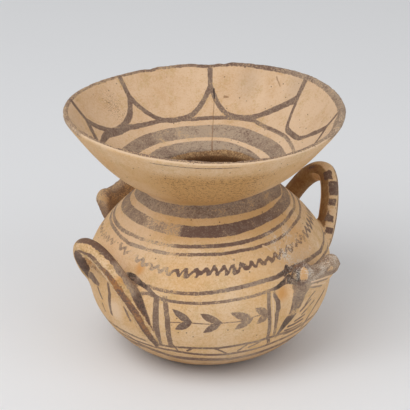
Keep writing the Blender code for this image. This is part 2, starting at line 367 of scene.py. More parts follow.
def tongue(name, lug):
    """The tongue: a disc pulled into its outline, thickened, rounded and bent onto the pot."""
    ears = lug_ears(lug)
    toe = BELLY_HEIGHT - lug["foot_drop"]
    sides = []
    for side, (across, top), full in zip((-1, 1), ears, lug["side_full"]):
        foot = (lug["foot_azimuth"] - lug["azimuth"]) * BELLY_RADIUS + side * LUG_FOOT_WIDTH / 2
        hip = across + side * LUG_EAR_RADIUS * LUG_EAR_FLATNESS
        edge = []
        for step in range(LUG_STEPS + 1):
            up = step / LUG_STEPS
            spread = math.sin(up * math.pi / 2) ** full
            edge.append((foot + (hip - foot) * spread, toe + (top - toe) * up))
        sides.append(edge + [(across, top + LUG_EAR_RADIUS / 2)])
    saddle = (0.0, (ears[0][1] + ears[1][1]) / 2 + LUG_EAR_RADIUS - LUG_SADDLE)
    outline = sides[1] + [saddle] + sides[0][::-1]
    plate = added(
        name, bpy.ops.mesh.primitive_circle_add,
        vertices=len(outline), radius=0.01, fill_type="NGON",
    )
    write_points(plate, np.array([(x, y, -LUG_THICKNESS / 2) for x, y in outline]))
    edit(plate)
    bpy.ops.mesh.extrude_region_move(TRANSFORM_OT_translate={"value": (0, 0, LUG_THICKNESS)})
    close_edit()
    apply_modifier(plate, "REMESH", mode="VOXEL", voxel_size=LUG_VOXEL)
    apply_modifier(plate, "SMOOTH", factor=0.5, iterations=10)
    write_points(plate, np.array([lug_place(lug, *point) for point in read(plate)]))
    return plate


def ear(name, lug, side):
    """A ball of clay at one upper corner of the tongue, cut off flat where it has broken away."""
    across, height = lug_ears(lug)[0 if side < 0 else 1]
    middle = lug_place(lug, across, height, 0.0)
    ball = added(
        name, bpy.ops.mesh.primitive_uv_sphere_add,
        segments=40, ring_count=24, radius=LUG_EAR_RADIUS,
    )
    facing = Matrix.Rotation(lug["azimuth"] - lug["turn"], 4, "Z")
    flattened = Matrix.Diagonal((1, LUG_EAR_FLATNESS, 1, 1))
    ball.matrix_world = Matrix.Translation(middle) @ facing @ flattened
    settle(ball)
    if side == lug["broken_ear"]:
        outward = lug_place(lug, across + side * LUG_EAR_RADIUS / 2, height, LUG_THICKNESS) - middle
        outward.normalize()
        edit(ball)
        bpy.ops.mesh.bisect(
            plane_co=middle + outward * (LUG_EAR_RADIUS - BREAK_DEPTH), plane_no=outward,
            use_fill=True, clear_outer=True,
        )
        bpy.ops.object.mode_set(mode="OBJECT")
    return ball


def smooth_step(low, high, values):
    """0 below low, 1 above high and a soft step between them, on an array."""
    share = np.clip((values - low) / (high - low), 0.0, 1.0)
    return share * share * (3.0 - 2.0 * share)


def rubbed_smooth(thing, points, weights, rounds):
    """Average each point with its neighbours, again and again, as far as its weight says."""
    edges = np.empty(len(thing.data.edges) * 2, dtype=np.int32)
    thing.data.edges.foreach_get("vertices", edges)
    heads, tails = edges.reshape(-1, 2).T
    heads, tails = np.concatenate([heads, tails]), np.concatenate([tails, heads])
    share = np.bincount(heads, minlength=len(points))
    for _ in range(rounds):
        sums = [np.bincount(heads, points[tails, axis], len(points)) for axis in range(3)]
        mean = (np.stack(sums) / share).T
        points = points + (mean - points) * (0.5 * weights)[:, None]
    return points


def lean(points):
    """The potter's hand: the mouth leans, the shoulder is pushed over and tilted, the lip waves."""
    x, y, z = points.T
    shoulder = np.maximum(0.0, np.sin(math.pi * np.minimum(z / NECK_HEIGHT, 1.0)))
    mouth = np.clip((z - NECK_HEIGHT) / (HEIGHT - NECK_HEIGHT), 0.0, 1.0)
    neck = np.clip((z - BELLY_HEIGHT) / (NECK_HEIGHT - BELLY_HEIGHT), 0.0, 1.0)
    azimuth = np.arctan2(x, -y)
    wave = LIP_WAVE * np.cos(2.0 * (azimuth - LIP_WAVE_CREST))
    off_dip = (azimuth - LIP_DIP_AZIMUTH + math.pi) % (2.0 * math.pi) - math.pi
    dip = LIP_DIP * np.exp(-(off_dip / LIP_DIP_SPREAD) ** 2)
    return np.stack([
        SHOULDER_SHIFT * shoulder + MOUTH_SHIFT[0] * mouth,
        MOUTH_SHIFT[1] * mouth,
        SHOULDER_TILT * x * neck * (1.0 - mouth) + (wave - dip * mouth) * mouth ** 2,
    ], axis=1)


def unlean(points):
    """The place each finished point had on the turned pot, before the potter's hand moved it."""
    true = points.copy()
    for _ in range(6):
        true = points - lean(true)
    return true


def unevenness(points, layers):
    """How far the layers of smooth noise move each point."""
    far = np.zeros(len(points))
    for depth, scale, seed in layers:
        shift = Vector((seed * 7.31, seed * 3.17, seed * 5.71))
        far += depth * np.array([noise.noise(Vector(point) * scale + shift) for point in points])
    return far


class Fitting:
    """A handle or lug before it is joined to the wall: its skin, for distances, and its box."""

    def __init__(self, things):
        points = np.concatenate([read(thing) for thing in things])
        self.low, self.high = points.min(axis=0), points.max(axis=0)
        self.skins = [
            BVHTree.FromPolygons(
                [vert.co for vert in thing.data.vertices],
                [face.vertices for face in thing.data.polygons],
            )
            for thing in things
        ]

    def gaps(self, points):
        """Each point's distance from the skin, below zero inside it, at most the smear's reach."""
        gaps = np.full(len(points), SMEAR_REACH)
        close = (points > self.low - SMEAR_REACH) & (points < self.high + SMEAR_REACH)
        for at in np.flatnonzero(close.all(axis=1)):
            for skin in self.skins:
                spot, normal, _, gap = skin.find_nearest(points[at], SMEAR_REACH)
                if spot is not None:
                    outwards = (Vector(points[at]) - spot).dot(normal)
                    gaps[at] = min(gaps[at], math.copysign(gap, outwards))
        return gaps


def wall_gaps(points):
    """Distance of each point from the turned outside skin, below zero in the wall or the hollow."""
    outline = np.array(outer_outline())
    radius, height = np.hypot(points[:, 0], points[:, 1]), points[:, 2]
    best = np.full(len(points), 1.0)
    signs = np.ones(len(points))
    for start, end in zip(outline, outline[1:]):
        run = end - start
        share = ((radius - start[0]) * run[0] + (height - start[1]) * run[1]) / run.dot(run)
        share = np.clip(share, 0.0, 1.0)
        off_r = radius - start[0] - share * run[0]
        off_z = height - start[1] - share * run[1]
        gap = np.hypot(off_r, off_z)
        closer = gap < best
        best = np.where(closer, gap, best)
        signs = np.where(closer, np.sign(off_r * run[1] - off_z * run[0]), signs)
    return best * signs


def worn_lip(points):
    """Small chips and a rubbed edge round the lip, deepest where the photograph shows clay."""
    radius = np.hypot(points[:, 0], points[:, 1])
    azimuth = np.degrees(np.arctan2(points[:, 0], -points[:, 1]))
    edge = smooth_step(HEIGHT - LIP_WEAR_DOWN, HEIGHT - LIP_WEAR_TOP, points[:, 2])
    edge *= radius > RIM_RADIUS - LIP_WEAR_IN
    lip = np.flatnonzero(edge > 0.0)
    wear = np.zeros(len(points))
    wear[lip] = unevenness(points[lip], LIP_UNEVEN)
    for at, width, depth in LIP_CHIPS:
        off = (azimuth - at + 180.0) % 360.0 - 180.0
        wear -= depth * np.exp(-(off / width) ** 2)
    pull = edge * np.minimum(wear, LIP_MOST_RAISED)
    outer_half = radius > RIM_RADIUS - LIP_THICKNESS / 2
    along = np.where(outer_half, 1.0, -0.4) * pull * 0.6
    out = points[:, :2] / np.maximum(radius, 0.01)[:, None]
    return points + np.column_stack([out * along[:, None], pull])


def build_olla():
    """The whole pot as one skin: wall, handles and lugs joined, seams smeared and the lip worn."""
    olla = drawn_up("olla_pot", wall_outline(), TURN_STEPS)
    loops = [
        [loop_handle("front_handle", FRONT_HANDLE)],
        [loop_handle("back_handle", BACK_HANDLE)],
    ]
    lugs = [
        [tongue(name, lug), ear(name + "_ear_a", lug, -1), ear(name + "_ear_b", lug, 1)]
        for name, lug in (("front_lug", FRONT_LUG), ("back_lug", BACK_LUG))
    ]
    fittings = [Fitting(things) for things in loops + lugs]

    core = [point for point in inset(outer_outline(), 0.5) if point[1] <= NECK_HEIGHT]
    things = sum(loops + lugs, [])
    for thing in things:
        plug = drawn_up("core", core, CORE_STEPS)
        apply_modifier(thing, "BOOLEAN", operation="DIFFERENCE", solver="EXACT", object=plug)
        bpy.data.objects.remove(plug)
    only(olla)
    for thing in things:
        thing.select_set(True)
    bpy.ops.object.join()
    apply_modifier(olla, "REMESH", mode="VOXEL", voxel_size=VOXEL)

    points = read(olla)
    to_wall = wall_gaps(points)
    to_fitting = np.min([fitting.gaps(points) for fitting in fittings], axis=0)
    seam = np.ones(len(points))
    points = rubbed_smooth(olla, points, seam, 2)
    for gaps in (to_wall, to_fitting):
        seam *= 1.0 - smooth_step(0.25 * SMEAR_REACH, SMEAR_REACH, np.abs(gaps))
    points = worn_lip(rubbed_smooth(olla, points, seam, SMEAR_ROUNDS))
    write_points(olla, points)
    points += read(olla, "normal") * unevenness(points, WALL_UNEVEN)[:, None]
    points += lean(points)
    points[:, 2] = np.maximum(points[:, 2], 0.0)
    write_points(olla, points)

    hidden = (to_wall < -0.6 * WALL) & (points[:, 2] < NECK_HEIGHT - 0.03)
    olla.data.vertices.foreach_set("select", hidden)
    only(olla)
    bpy.ops.object.mode_set(mode="EDIT")
    bpy.ops.mesh.select_mode(type="FACE")
    bpy.ops.mesh.select_mode(type="VERT")
    bpy.ops.mesh.decimate(ratio=HIDDEN_SHARE)
    bpy.ops.object.mode_set(mode="OBJECT")
    triangles = sum(len(face.vertices) - 2 for face in olla.data.polygons)
    apply_modifier(olla, "DECIMATE", ratio=min(1.0, MOST_TRIANGLES / triangles))
    bpy.ops.object.shade_smooth()
    return olla, fittings


def write_attribute(thing, name, values):
    """Give the mesh an attribute at its vertices: one number or one vector each."""
    kind, field = ("FLOAT", "value") if values.ndim == 1 else ("FLOAT_VECTOR", "vector")
    layer = thing.data.attributes.new(name, kind, "POINT")
    layer.data.foreach_set(field, np.ascontiguousarray(values, dtype=np.float32).ravel())


def loop_run(handle, points):
    """Each point's place on a handle: along it, and how far it faces sideways and outwards."""
    frames = handle_frames(handle)
    middles = frames[1]
    nearest = np.linalg.norm(points[:, None, :] - middles[None, :, :], axis=2).argmin(axis=1)
    run, middle, out, side, size = [column[nearest] for column in frames]
    off = points - middle
    step = np.gradient(middles, axis=0)[nearest]
    run = run + (off * step).sum(axis=1) / (step * step).sum(axis=1) * 2.0 / HANDLE_STEPS
    return np.stack([run, (off * side).sum(axis=1) / size, (off * out).sum(axis=1) / size], axis=1)


def lug_spot(lug, points):
    """Each point's flat place on a lug, in metres: across it, its height, out from its middle."""
    azimuth = np.arctan2(points[:, 0], -points[:, 1])
    turn = (azimuth - lug["azimuth"] + math.pi) % (2.0 * math.pi) - math.pi
    across, height = turn * BELLY_RADIUS, points[:, 2]
    rise = np.maximum((height - BELLY_HEIGHT) / lug["ear_rise"], 0.0)
    face = np.array([body_radius(min(level, BELLY_HEIGHT)) for level in height]) + LUG_RELIEF
    face += rise * (LUG_STAND_OFF + across * math.tan(lug["turn"]))
    out = np.hypot(points[:, 0], points[:, 1]) - face + LUG_THICKNESS / 2
    return np.stack([across, height, out], axis=1)


def note_places(olla, fittings):
    """Write on the mesh what its paint follows: places on the turned pot, handles and lugs."""
    points = unlean(read(olla))
    write_attribute(olla, "turned", points)
    inside = 1.0 - smooth_step(-0.75 * WALL, -0.25 * WALL, wall_gaps(points))
    write_attribute(olla, "inside", inside)
    gaps = [fitting.gaps(points) for fitting in fittings]
    write_attribute(olla, "loop_gap", np.minimum(gaps[0], gaps[1]))
    write_attribute(olla, "lug_gap", np.minimum(gaps[2], gaps[3]))
    left = points[:, 0] < 0.0
    for name, measure, on_left, on_right in (
        ("loop", loop_run, FRONT_HANDLE, BACK_HANDLE), ("lug", lug_spot, BACK_LUG, FRONT_LUG)
    ):
        places = np.zeros_like(points)
        places[left] = measure(on_left, points[left])
        places[~left] = measure(on_right, points[~left])
        write_attribute(olla, name, places)


def by_math(operation, turned_round=False):
    """A method that makes an operation's Math node, with the wire as its first or last value."""
    def method(wire, *others):
        values = (*others, wire) if turned_round else (wire, *others)
        settings = {"operation": operation}
        return wire.tree.node("ShaderNodeMath", settings, dict(enumerate(values)))
    return method


class Wire:
    """A socket of a node tree that Python's operators work on, each by its Math node."""

    def __init__(self, tree, socket):
        self.tree, self.socket = tree, socket

    __add__ = __radd__ = by_math("ADD")
    __mul__ = __rmul__ = by_math("MULTIPLY")
    __sub__ = by_math("SUBTRACT")
    __rsub__ = by_math("SUBTRACT", True)
    __truediv__ = by_math("DIVIDE")
    __pow__ = by_math("POWER")
    __abs__ = by_math("ABSOLUTE")
    most = by_math("MAXIMUM")
    least = by_math("MINIMUM")
    sine = by_math("SINE")
    arctan2 = by_math("ARCTAN2")
    wrap = by_math("WRAP")
    pingpong = by_math("PINGPONG")


class Tree:
    """A material's node tree, with the few steps that the pot's finishes are written in."""

    def __init__(self, name):
        self.material = bpy.data.materials.new(name)
        self.material.use_nodes = True
        self.nodes = self.material.node_tree.nodes
        self.links = self.material.node_tree.links
        self.shader = self.nodes["Principled BSDF"]

    def feed(self, node, inputs):
        """Link or set a node's inputs."""
        for name, value in inputs.items():
            if isinstance(value, Wire):
                self.links.new(value.socket, node.inputs[name])
            else:
                node.inputs[name].default_value = value

    def node(self, kind, settings, inputs, output=0):
        """Any node, by its type, with its settings, its values or links, and the output wanted."""
        made = self.nodes.new(kind)
        for name, value in settings.items():
            setattr(made, name, value)
        self.feed(made, inputs)
        return Wire(self, made.outputs[output])

    def attribute(self, name, output):
        return self.node("ShaderNodeAttribute", {"attribute_name": name}, {}, output)

    def parts(self, vector, kind="ShaderNodeSeparateXYZ"):
        """The three numbers that a vector or a colour is made of."""
        first = self.node(kind, {}, {0: vector})
        return [Wire(self, output) for output in first.socket.node.outputs]

    def point(self, x, y, z=0.0):
        return self.node("ShaderNodeCombineXYZ", {}, {0: x, 1: y, 2: z})

    def vector(self, operation, first, second, output="Vector"):
        inputs = {0: first, 1: second}
        return self.node("ShaderNodeVectorMath", {"operation": operation}, inputs, output)

    def scaled(self, vector, factor):
        inputs = {0: vector, "Scale": factor}
        return self.node("ShaderNodeVectorMath", {"operation": "SCALE"}, inputs)

    def step(self, value, low, high):
        """A soft step from 0, where value is at low, to 1, where it is at high."""
        inputs = {"Value": value, "From Min": low, "From Max": high}
        return self.node("ShaderNodeMapRange", {"interpolation_type": "SMOOTHSTEP"}, inputs)

    def noise(self, vector, scale, detail, roughness, output="Fac"):
        inputs = {"Vector": vector, "Scale": scale, "Detail": detail, "Roughness": roughness}
        return self.node("ShaderNodeTexNoise", {}, inputs, output)

    def blend(self, share, first, second):
        """From the first colour to the second, by share."""
        first, second = [
            colour if isinstance(colour, Wire) else (*colour, 1.0) for colour in (first, second)
        ]
        return self.node("ShaderNodeMix", {"data_type": "RGBA"}, {0: share, 6: first, 7: second}, 2)

    def laid_over(self, colour, layers):
        """A colour with others laid over it one by one, each by its share."""
        for share, other in layers:
            colour = self.blend(share, colour, other)
        return colour

    def ramp(self, value, span, stops):
        """A ramp of stops over a span of values. Stops that end short of it close as they began."""
        low, high = span
        if stops[-1][0] < high:
            stops = (*stops, (high, *stops[0][1:]))
        ranged = {"Value": value, "From Min": low, "From Max": high}
        ramp = self.node("ShaderNodeValToRGB", {}, {0: self.node("ShaderNodeMapRange", {}, ranged)})
        marks = ramp.socket.node.color_ramp.elements
        while len(marks) < len(stops):
            marks.new(0.5)
        for mark, (at, *levels) in zip(marks, stops):
            mark.position = (at - low) / (high - low)
            mark.color = (*(levels if len(levels) == 3 else levels * 3), 1.0)
        return ramp

    def table(self, value, span, stops):
        """The three numbers that a table's stops give at a value."""
        return self.parts(self.ramp(value, span, stops), "ShaderNodeSeparateColor")

    def stripe(self, value, place, span, stops, soft=0.3, shift=0.0):
        """A painted stripe: the stops give its two edges at a place and how well it has lasted."""
        if shift:
            value = value + shift
            stops = [(at, lower + shift, upper + shift, kept) for at, lower, upper, kept in stops]
        lower, upper, lasting = self.table(place, span, stops)
        return self.step((value - lower).least(upper - value), -soft, soft) * lasting

    def band(self, value, low, high, soft):
        return self.step(value, low - soft, low + soft) * self.step(value, high + soft, high - soft)

    def blob(self, place, centre, radius, soft):
        """1 near a point of the flat and 0 past its radius."""
        away = self.vector("DISTANCE", place, (*centre, 0.0), "Value")
        return self.step(away, radius + soft, radius - soft)

    def stroke(self, place, start, end, halves, soft, belly=0.0):
        """A brush stroke on the flat from start to end: its half widths there, and its belly."""
        run = Vector((end[0] - start[0], end[1] - start[1], 0.0))
        offset = self.vector("SUBTRACT", place, (*start, 0.0))
        share = self.vector("DOT_PRODUCT", offset, run / run.length_squared, "Value")
        share = self.node("ShaderNodeClamp", {}, {"Value": share})
        away = self.vector("DISTANCE", offset, self.scaled(tuple(run), share), "Value")
        half = halves[0] + share * (halves[1] - halves[0])
        if belly:
            half = half + share * (1.0 - share) * (4.0 * belly)
        return self.step(away - half, soft, -soft)


# Colours of the slip, the paint, the soil on them and the painted shade, as linear light
SLIP = (0.700, 0.437, 0.208)
SLIP_PALE = (0.760, 0.550, 0.350)
SLIP_FUNNEL = (0.672, 0.446, 0.262)
SLIP_ROSE = (0.790, 0.570, 0.380)
SLIP_WHITE = (0.780, 0.720, 0.640)
SLIP_TAN = (0.570, 0.320, 0.120)
SLIP_OLIVE = (0.560, 0.410, 0.190)
SLIP_ORANGE = (0.640, 0.310, 0.090)
OCHRE = (0.400, 0.250, 0.100)
CLAY_BROWN = (0.240, 0.115, 0.045)
PAINT_DARK = (0.135, 0.074, 0.056)
PAINT_BLACK = (0.045, 0.033, 0.030)
PAINT_GREY = (0.252, 0.182, 0.138)
PAINT_PALE = (0.440, 0.335, 0.245)
PAINT_RUST = (0.360, 0.150, 0.050)
SPECK = (0.070, 0.040, 0.026)

# Noise: scale, detail and roughness
SLOW_UNREST = (22.0, 1.0, 0.5)
FAST_UNREST = (300.0, 3.0, 0.6)
GRAIN = (520.0, 5.0, 0.75)
PATCH = (85.0, 3.0, 0.6)
CLOUD = (30.0, 3.0, 0.55)
MOTTLE = (1050.0, 2.0, 0.7)

# How much of the fine, the coarse and the mottled noise goes into each kind of wear
WEAR_MIX = (2.7, 1.5, 2.0)
DIRT_MIX = (2.6, 1.0, 1.8)
GREY_MIX = (4.0, 2.4, 3.0)

DEGREE = 180.0 / math.pi
BELLY_MM_PER_DEGREE = 1.833
LINE_TILT = 0.00038

# Spans that tables run over: degrees round the pot and on its half, levels in mm, a handle's length
ROUND = (-180, 180)
FOLDED = (-90, 90)
FOOT_LEVELS = (0, 40)
BODY_LEVELS = (0, 130)
ALL_LEVELS = (0, 260)
LOOP_LENGTH = (-1, 1)

# Bands and lines round the body: azimuth, lower and upper edge in mm, how well the paint has lasted
BAND_A = (
    (-180, 145, 155.6, 0.75), (-89, 145.8, 155.6, 0.75), (-73, 147.3, 155.6, 0.85),
    (-59, 148, 155.6, 0.9), (-46.8, 147.3, 155.6, 0.85), (-35.8, 147, 155.6, 0.75),
    (-20, 146.6, 155.6, 0.75), (-2.5, 145.9, 155.6, 0.78), (11.6, 145, 155.4, 0.8),
    (33, 143.7, 155.2, 0.75), (60, 142.3, 155.2, 0.75), (82, 138.9, 154.5, 0.8),
    (110, 140, 154.5, 0.8),
)
BAND_B = (
    (-180, 134, 141, 0.85), (-87.6, 134.2, 141.8, 0.66), (-76, 135.2, 142.4, 0.72),
    (-64, 136.2, 143.3, 0.74), (-54.3, 136.5, 143.5, 0.7), (-48, 136.3, 143.2, 0.52),
    (-34, 135.4, 142.4, 0.46), (-21, 134.8, 142, 0.48), (-19, 134.6, 141.9, 1),
    (-2.2, 133.7, 141, 1), (17.7, 132.3, 139.9, 1), (43, 133.4, 139.4, 0.95),
    (66, 132.2, 139.3, 0.78), (87, 130.9, 138.2, 0.68),
)
LINE_C = (
    (-180, 126.9, 129.1, 0.75), (-75, 126.6, 129, 0.7), (-64, 126.8, 129.2, 0.72),
    (-57, 127.5, 129.9, 0.7), (-51, 127.8, 130, 0.5), (-47, 127.7, 129.9, 0.4),
    (-24, 127.5, 129.7, 0.4), (-15, 127.4, 129.7, 0.85), (-2, 127.3, 129.7, 0.95),
    (14, 126.3, 128.7, 0.95), (26, 125.9, 128.2, 0.95), (40, 126.1, 128.3, 0.8),
    (54, 126.8, 128.8, 0.72), (71, 127.4, 129.4, 0.7), (82, 126.7, 128.7, 0.68),
)
LINE_D = (
    (-180, 122.2, 124.4, 0.75), (-70.5, 123.7, 125.9, 0.7), (-62.4, 123, 125.2, 0.7),
    (-55.1, 122.6, 124.8, 0.62), (-53, 122, 124.2, 0.85), (-46, 122.2, 124.8, 0.92),
    (-40, 122.6, 124.8, 0.85), (-37.5, 122.3, 124.3, 0.36), (-33.5, 122.6, 124.6, 0.36),
    (-32, 122.7, 125, 0.85), (-26, 122.4, 124.6, 0.75), (-23, 122.4, 124.4, 0.4),
    (-13, 122.4, 124.4, 0.6), (-2, 122.4, 124.5, 0.9), (8, 121.4, 123.5, 0.95),
    (19, 121.4, 123.5, 0.95), (30, 120.6, 122.7, 0.9), (47, 120.2, 122, 0.7),
    (63, 121.7, 123.5, 0.66), (79, 121.5, 123.5, 0.68),
)
LINE_F = (
    (-180, 96, 99, 0.75), (-60, 96.8, 99.4, 0.35), (-30, 97, 99.6, 0.5), (-21, 95.8, 98.5, 0.6),
    (-6, 95.5, 98.4, 0.72), (1, 96, 98.9, 0.9), (10, 96.6, 99.6, 0.97), (24, 97.8, 100.8, 0.95),
    (34, 97.8, 100.9, 0.9), (39, 98.4, 102, 1), (46, 98.2, 101.8, 0.9), (58.5, 97.2, 100, 0.62),
    (65.5, 96.2, 99.2, 0.85), (71.5, 94.4, 97.4, 0.85), (79.2, 94.8, 97.4, 0.75),
    (90, 95, 97.6, 0.7),
)
LINE_G = (
    (-180, 88.4, 90.8, 0.7), (-60, 90.6, 93, 0.3), (-28.2, 91.2, 93.7, 0.8),
    (-24.5, 89.4, 92, 0.88), (-18.9, 88.6, 91.1, 0.9), (-12, 88.3, 90.8, 0.82),
    (-4.5, 88.1, 90.6, 0.66), (8, 88.6, 91, 0.62), (21, 89.3, 91.7, 0.64), (30.3, 90.6, 93, 0.7),
    (37.8, 91.8, 94.8, 0.95), (46, 91.6, 94.6, 0.9), (73, 89.9, 92.3, 0.75), (79, 88.8, 91.2, 0.7),
    (92, 85.2, 87.4, 0.62),
)
STAIN_LINE = (
    (-180, 100, 100.1, 0), (-45, 101, 103, 0), (-43.5, 100.2, 104.4, 1), (-40.8, 99.6, 105, 1),
    (-37.7, 99.4, 104.4, 1), (-34.1, 97.4, 101.4, 1), (-30.4, 95.2, 98.8, 1),
    (-27.6, 91.8, 96.4, 0.95), (-25.5, 90, 93.4, 0.95), (-22.4, 89, 91.8, 0.9),
    (-20.6, 89, 91.4, 0),
)
LIMB_STAIN = (
    (-180, 76, 76.1, 0), (-80, 75, 86, 0), (-77, 75.4, 86, 0.85), (-69, 76.4, 84.6, 0.85),
    (-62.8, 78.6, 83.2, 0.75), (-60.5, 80, 82.6, 0),
)

# The wavering zigzag: azimuth, middle and half height in mm, how well the paint has lasted
ZIGZAG = (
    (-180, 112, 2.4, 0.7), (-90, 114.6, 1.8, 0.45), (-82, 115, 1.6, 0.35), (-72, 117, 1.6, 0.42),
    (-64, 118, 1.6, 0.38), (-62, 118.5, 1.6, 0), (-58.4, 119, 1.6, 0), (-57, 119, 1.7, 0.82),
    (-50, 117.3, 1.8, 0.8), (-47.5, 117, 1.8, 0.12), (-42.5, 116.2, 1.8, 0.12),
    (-41, 116, 1.8, 0.88), (-34, 113.8, 1.8, 0.82), (-32, 113.4, 2, 0.15), (-30, 113, 2, 0.75),
    (-23, 111.8, 2, 0.62), (-19.5, 111.5, 2.3, 0.62), (-18, 111.6, 2.4, 0.97), (0, 112.6, 2.5, 1),
    (12, 111.2, 2.5, 1), (18, 110.9, 2.5, 1), (25, 111.6, 2.4, 0.88), (28, 111.6, 2.2, 0.66),
    (48, 112.3, 2.2, 0.6), (52, 112.3, 2, 0.38), (66, 112.4, 2.2, 0.38), (70, 112.8, 2.6, 0.88),
    (82, 113, 2.6, 0.85), (90, 113, 2.4, 0.6),
)
ZIGZAG_PERIOD = 4.98
ZIGZAG_START = -0.31
ZIGZAG_SHEAR = 0.215

# Lines round the lower body, repeated behind: folded azimuth, edges in mm, lasting
LINE_H = (
    (-90, 42.2, 44.8, 0.6), (-30, 41.7, 44.3, 0.6), (-18.3, 41.1, 43.7, 0.85),
    (-12.7, 42.7, 45.3, 0.88), (-4, 43.4, 46, 0.9), (4.6, 42.9, 45.5, 0.9), (10.4, 43.7, 46.3, 0.9),
    (17.9, 44.9, 47.6, 0.9), (24.5, 45.3, 48.1, 0.88), (28.3, 45.9, 48.7, 0.85),
    (40, 45.1, 47.7, 0.7),
)
LINE_I = (
    (-90, 35, 38, 0.66), (-60.6, 34.5, 37.1, 0.66), (-52.3, 35, 37.6, 0.66),
    (-43.8, 34.8, 37.4, 0.66), (-35.3, 35.8, 38.4, 0.66), (-18.2, 35.6, 38.8, 0.82),
    (-10.8, 34.8, 37.9, 0.86), (-1, 33.2, 36.4, 0.86), (8.8, 32.9, 36, 0.86),
    (22.5, 34.4, 37.6, 0.86), (30.1, 36.2, 39.2, 0.82), (37.5, 36.9, 39.9, 0.76),
    (60, 36, 39, 0.66),
)
LINE_J = (
    (-90, 25, 30, 0.55), (-50, 27, 31.5, 0.55), (-34.7, 29.4, 34, 0.66), (-27.5, 27.6, 32.6, 0.72),
    (-19.9, 23.6, 28.8, 0.78), (-7.5, 24, 29.4, 0.8), (1, 23.6, 29, 0.8), (12.6, 22, 27.2, 0.8),
    (26.1, 24.4, 29.6, 0.78), (37.4, 25.8, 30.8, 0.72), (60, 25, 30, 0.6),
)
BRANCH_STEM = (
    (-90, 70, 70.1, 0), (-18.6, 70, 71, 0), (-17.8, 70.2, 71.2, 0.55), (-12, 71.4, 72.5, 0.6),
    (-5.6, 71.1, 72.2, 0.62), (1.8, 70.4, 71.5, 0.6), (6.7, 71, 72.1, 0.62),
    (13.7, 70.7, 71.8, 0.6), (20.5, 72.9, 74, 0.55), (24, 73.6, 74.6, 0.5), (26, 73.8, 74.6, 0),
)

# Upright lines of the panel: level in mm, edges in degrees, how well the paint has lasted
UPRIGHTS = (
    (
        (40, -25.8, -23, 0), (43, -25.9, -22.9, 0.86), (60, -26, -23, 0.86), (76, -26, -23.1, 0.82),
        (90, -26, -23.2, 0.76), (92, -26, -23.2, 0),
    ),
    (
        (43, -19.8, -17.3, 0), (45, -19.8, -17.3, 0.82), (56, -20, -17.5, 0.8),
        (73, -20.2, -17.7, 0.74), (86, -21.2, -18.8, 0.7), (92, -22, -19.7, 0.68),
        (94, -22, -19.7, 0),
    ),
    (
        (38, 29.2, 31, 0), (41, 29, 30.9, 0.8), (49, 27.3, 29.1, 0.86), (57, 27, 28.9, 0.88),
        (71, 26.6, 28.5, 0.9), (80, 26.5, 28.3, 0.9), (90, 27, 29, 0.86), (92, 27, 29, 0),
    ),
    (
        (44, 31.1, 32.5, 0), (49.5, 30.8, 32.4, 0.7), (61, 30.4, 32.2, 0.76),
        (71, 30.4, 32.6, 0.85), (74, 30.9, 33.4, 1), (81, 31.1, 33.4, 1), (87, 29.6, 31.6, 0.97),
        (91, 29.3, 31.2, 0),
    ),
)

# Stripes under the left handle and beside the front lug: level in mm, edges in degrees, lasting
SIDE_STRIPES = (
    (
        (57, -53.2, -51.4, 0), (59, -53.2, -51.5, 0.8), (71, -53.8, -51.6, 0.85),
        (80, -53.4, -51, 0.84), (88, -55.2, -53.3, 0.8), (90, -55.2, -53.8, 0),
    ),
    (
        (60, -39.3, -37.9, 0), (62, -39.4, -37.8, 0.8), (67.5, -40.9, -39.2, 0.88),
        (73.4, -42.4, -40.9, 0.8), (75.5, -42.6, -41.2, 0),
    ),
    (
        (43, 32.4, 33.6, 0), (47, 32.7, 34.4, 0.9), (50, 33.2, 35.8, 0.97), (59.5, 35.3, 40.3, 1),
        (63.5, 37, 42.4, 0.97), (65, 37.8, 43.2, 0.36), (67.5, 38.6, 43.8, 0.36),
        (69.5, 39, 44.8, 0.88), (74.4, 39.5, 46, 0.86), (80, 39.8, 46.3, 0.86),
        (85, 40, 47.4, 0.66), (91, 40, 47.9, 0.66), (95, 40, 47.9, 0.8), (98, 40, 47.9, 0),
    ),
    (
        (36, 50.3, 51.6, 0), (37.6, 50.4, 51.8, 0.74), (44.6, 52, 54, 0.84),
        (52.8, 53.4, 55.4, 0.86), (58.7, 57, 59.2, 0.86), (62.3, 60.8, 63.4, 0.86),
        (65.1, 64.6, 67.6, 0.84), (67, 67, 69, 0),
    ),
)

# Leaves: node, upper and lower tip in azimuth and mm, and how well each leaf has lasted
BRANCH = (
    ((-8.5, 72.3), (-16.7, 83), (-15.5, 64.3), 1, 1),
    ((4.8, 71.8), (-4.2, 80.5), (-2.7, 62.6), 0.8, 0.95),
    ((18.8, 72), (9.5, 80.1), (11.4, 64.2), 0.72, 0.74),
    ((27, 73), (20.7, 80.3), (21.1, 66.4), 0.62, 0.56),
)

# Short brush marks in folded azimuth and mm: start, end, half widths, how well they have lasted
PANEL_MARKS = (
    ((-18.4, 48.7), (-15.6, 38.4), (1.1, 0.9), 0.82), ((-10.6, 39.9), (-8, 43.8), (1.1, 0.9), 0.82),
    ((2.9, 43.8), (8.6, 36.2), (1.1, 0.9), 0.82), ((14.6, 37.9), (18, 44.6), (1.1, 0.9), 0.82),
    ((19.7, 40.8), (24.7, 45.1), (1.1, 0.9), 0.82),
)

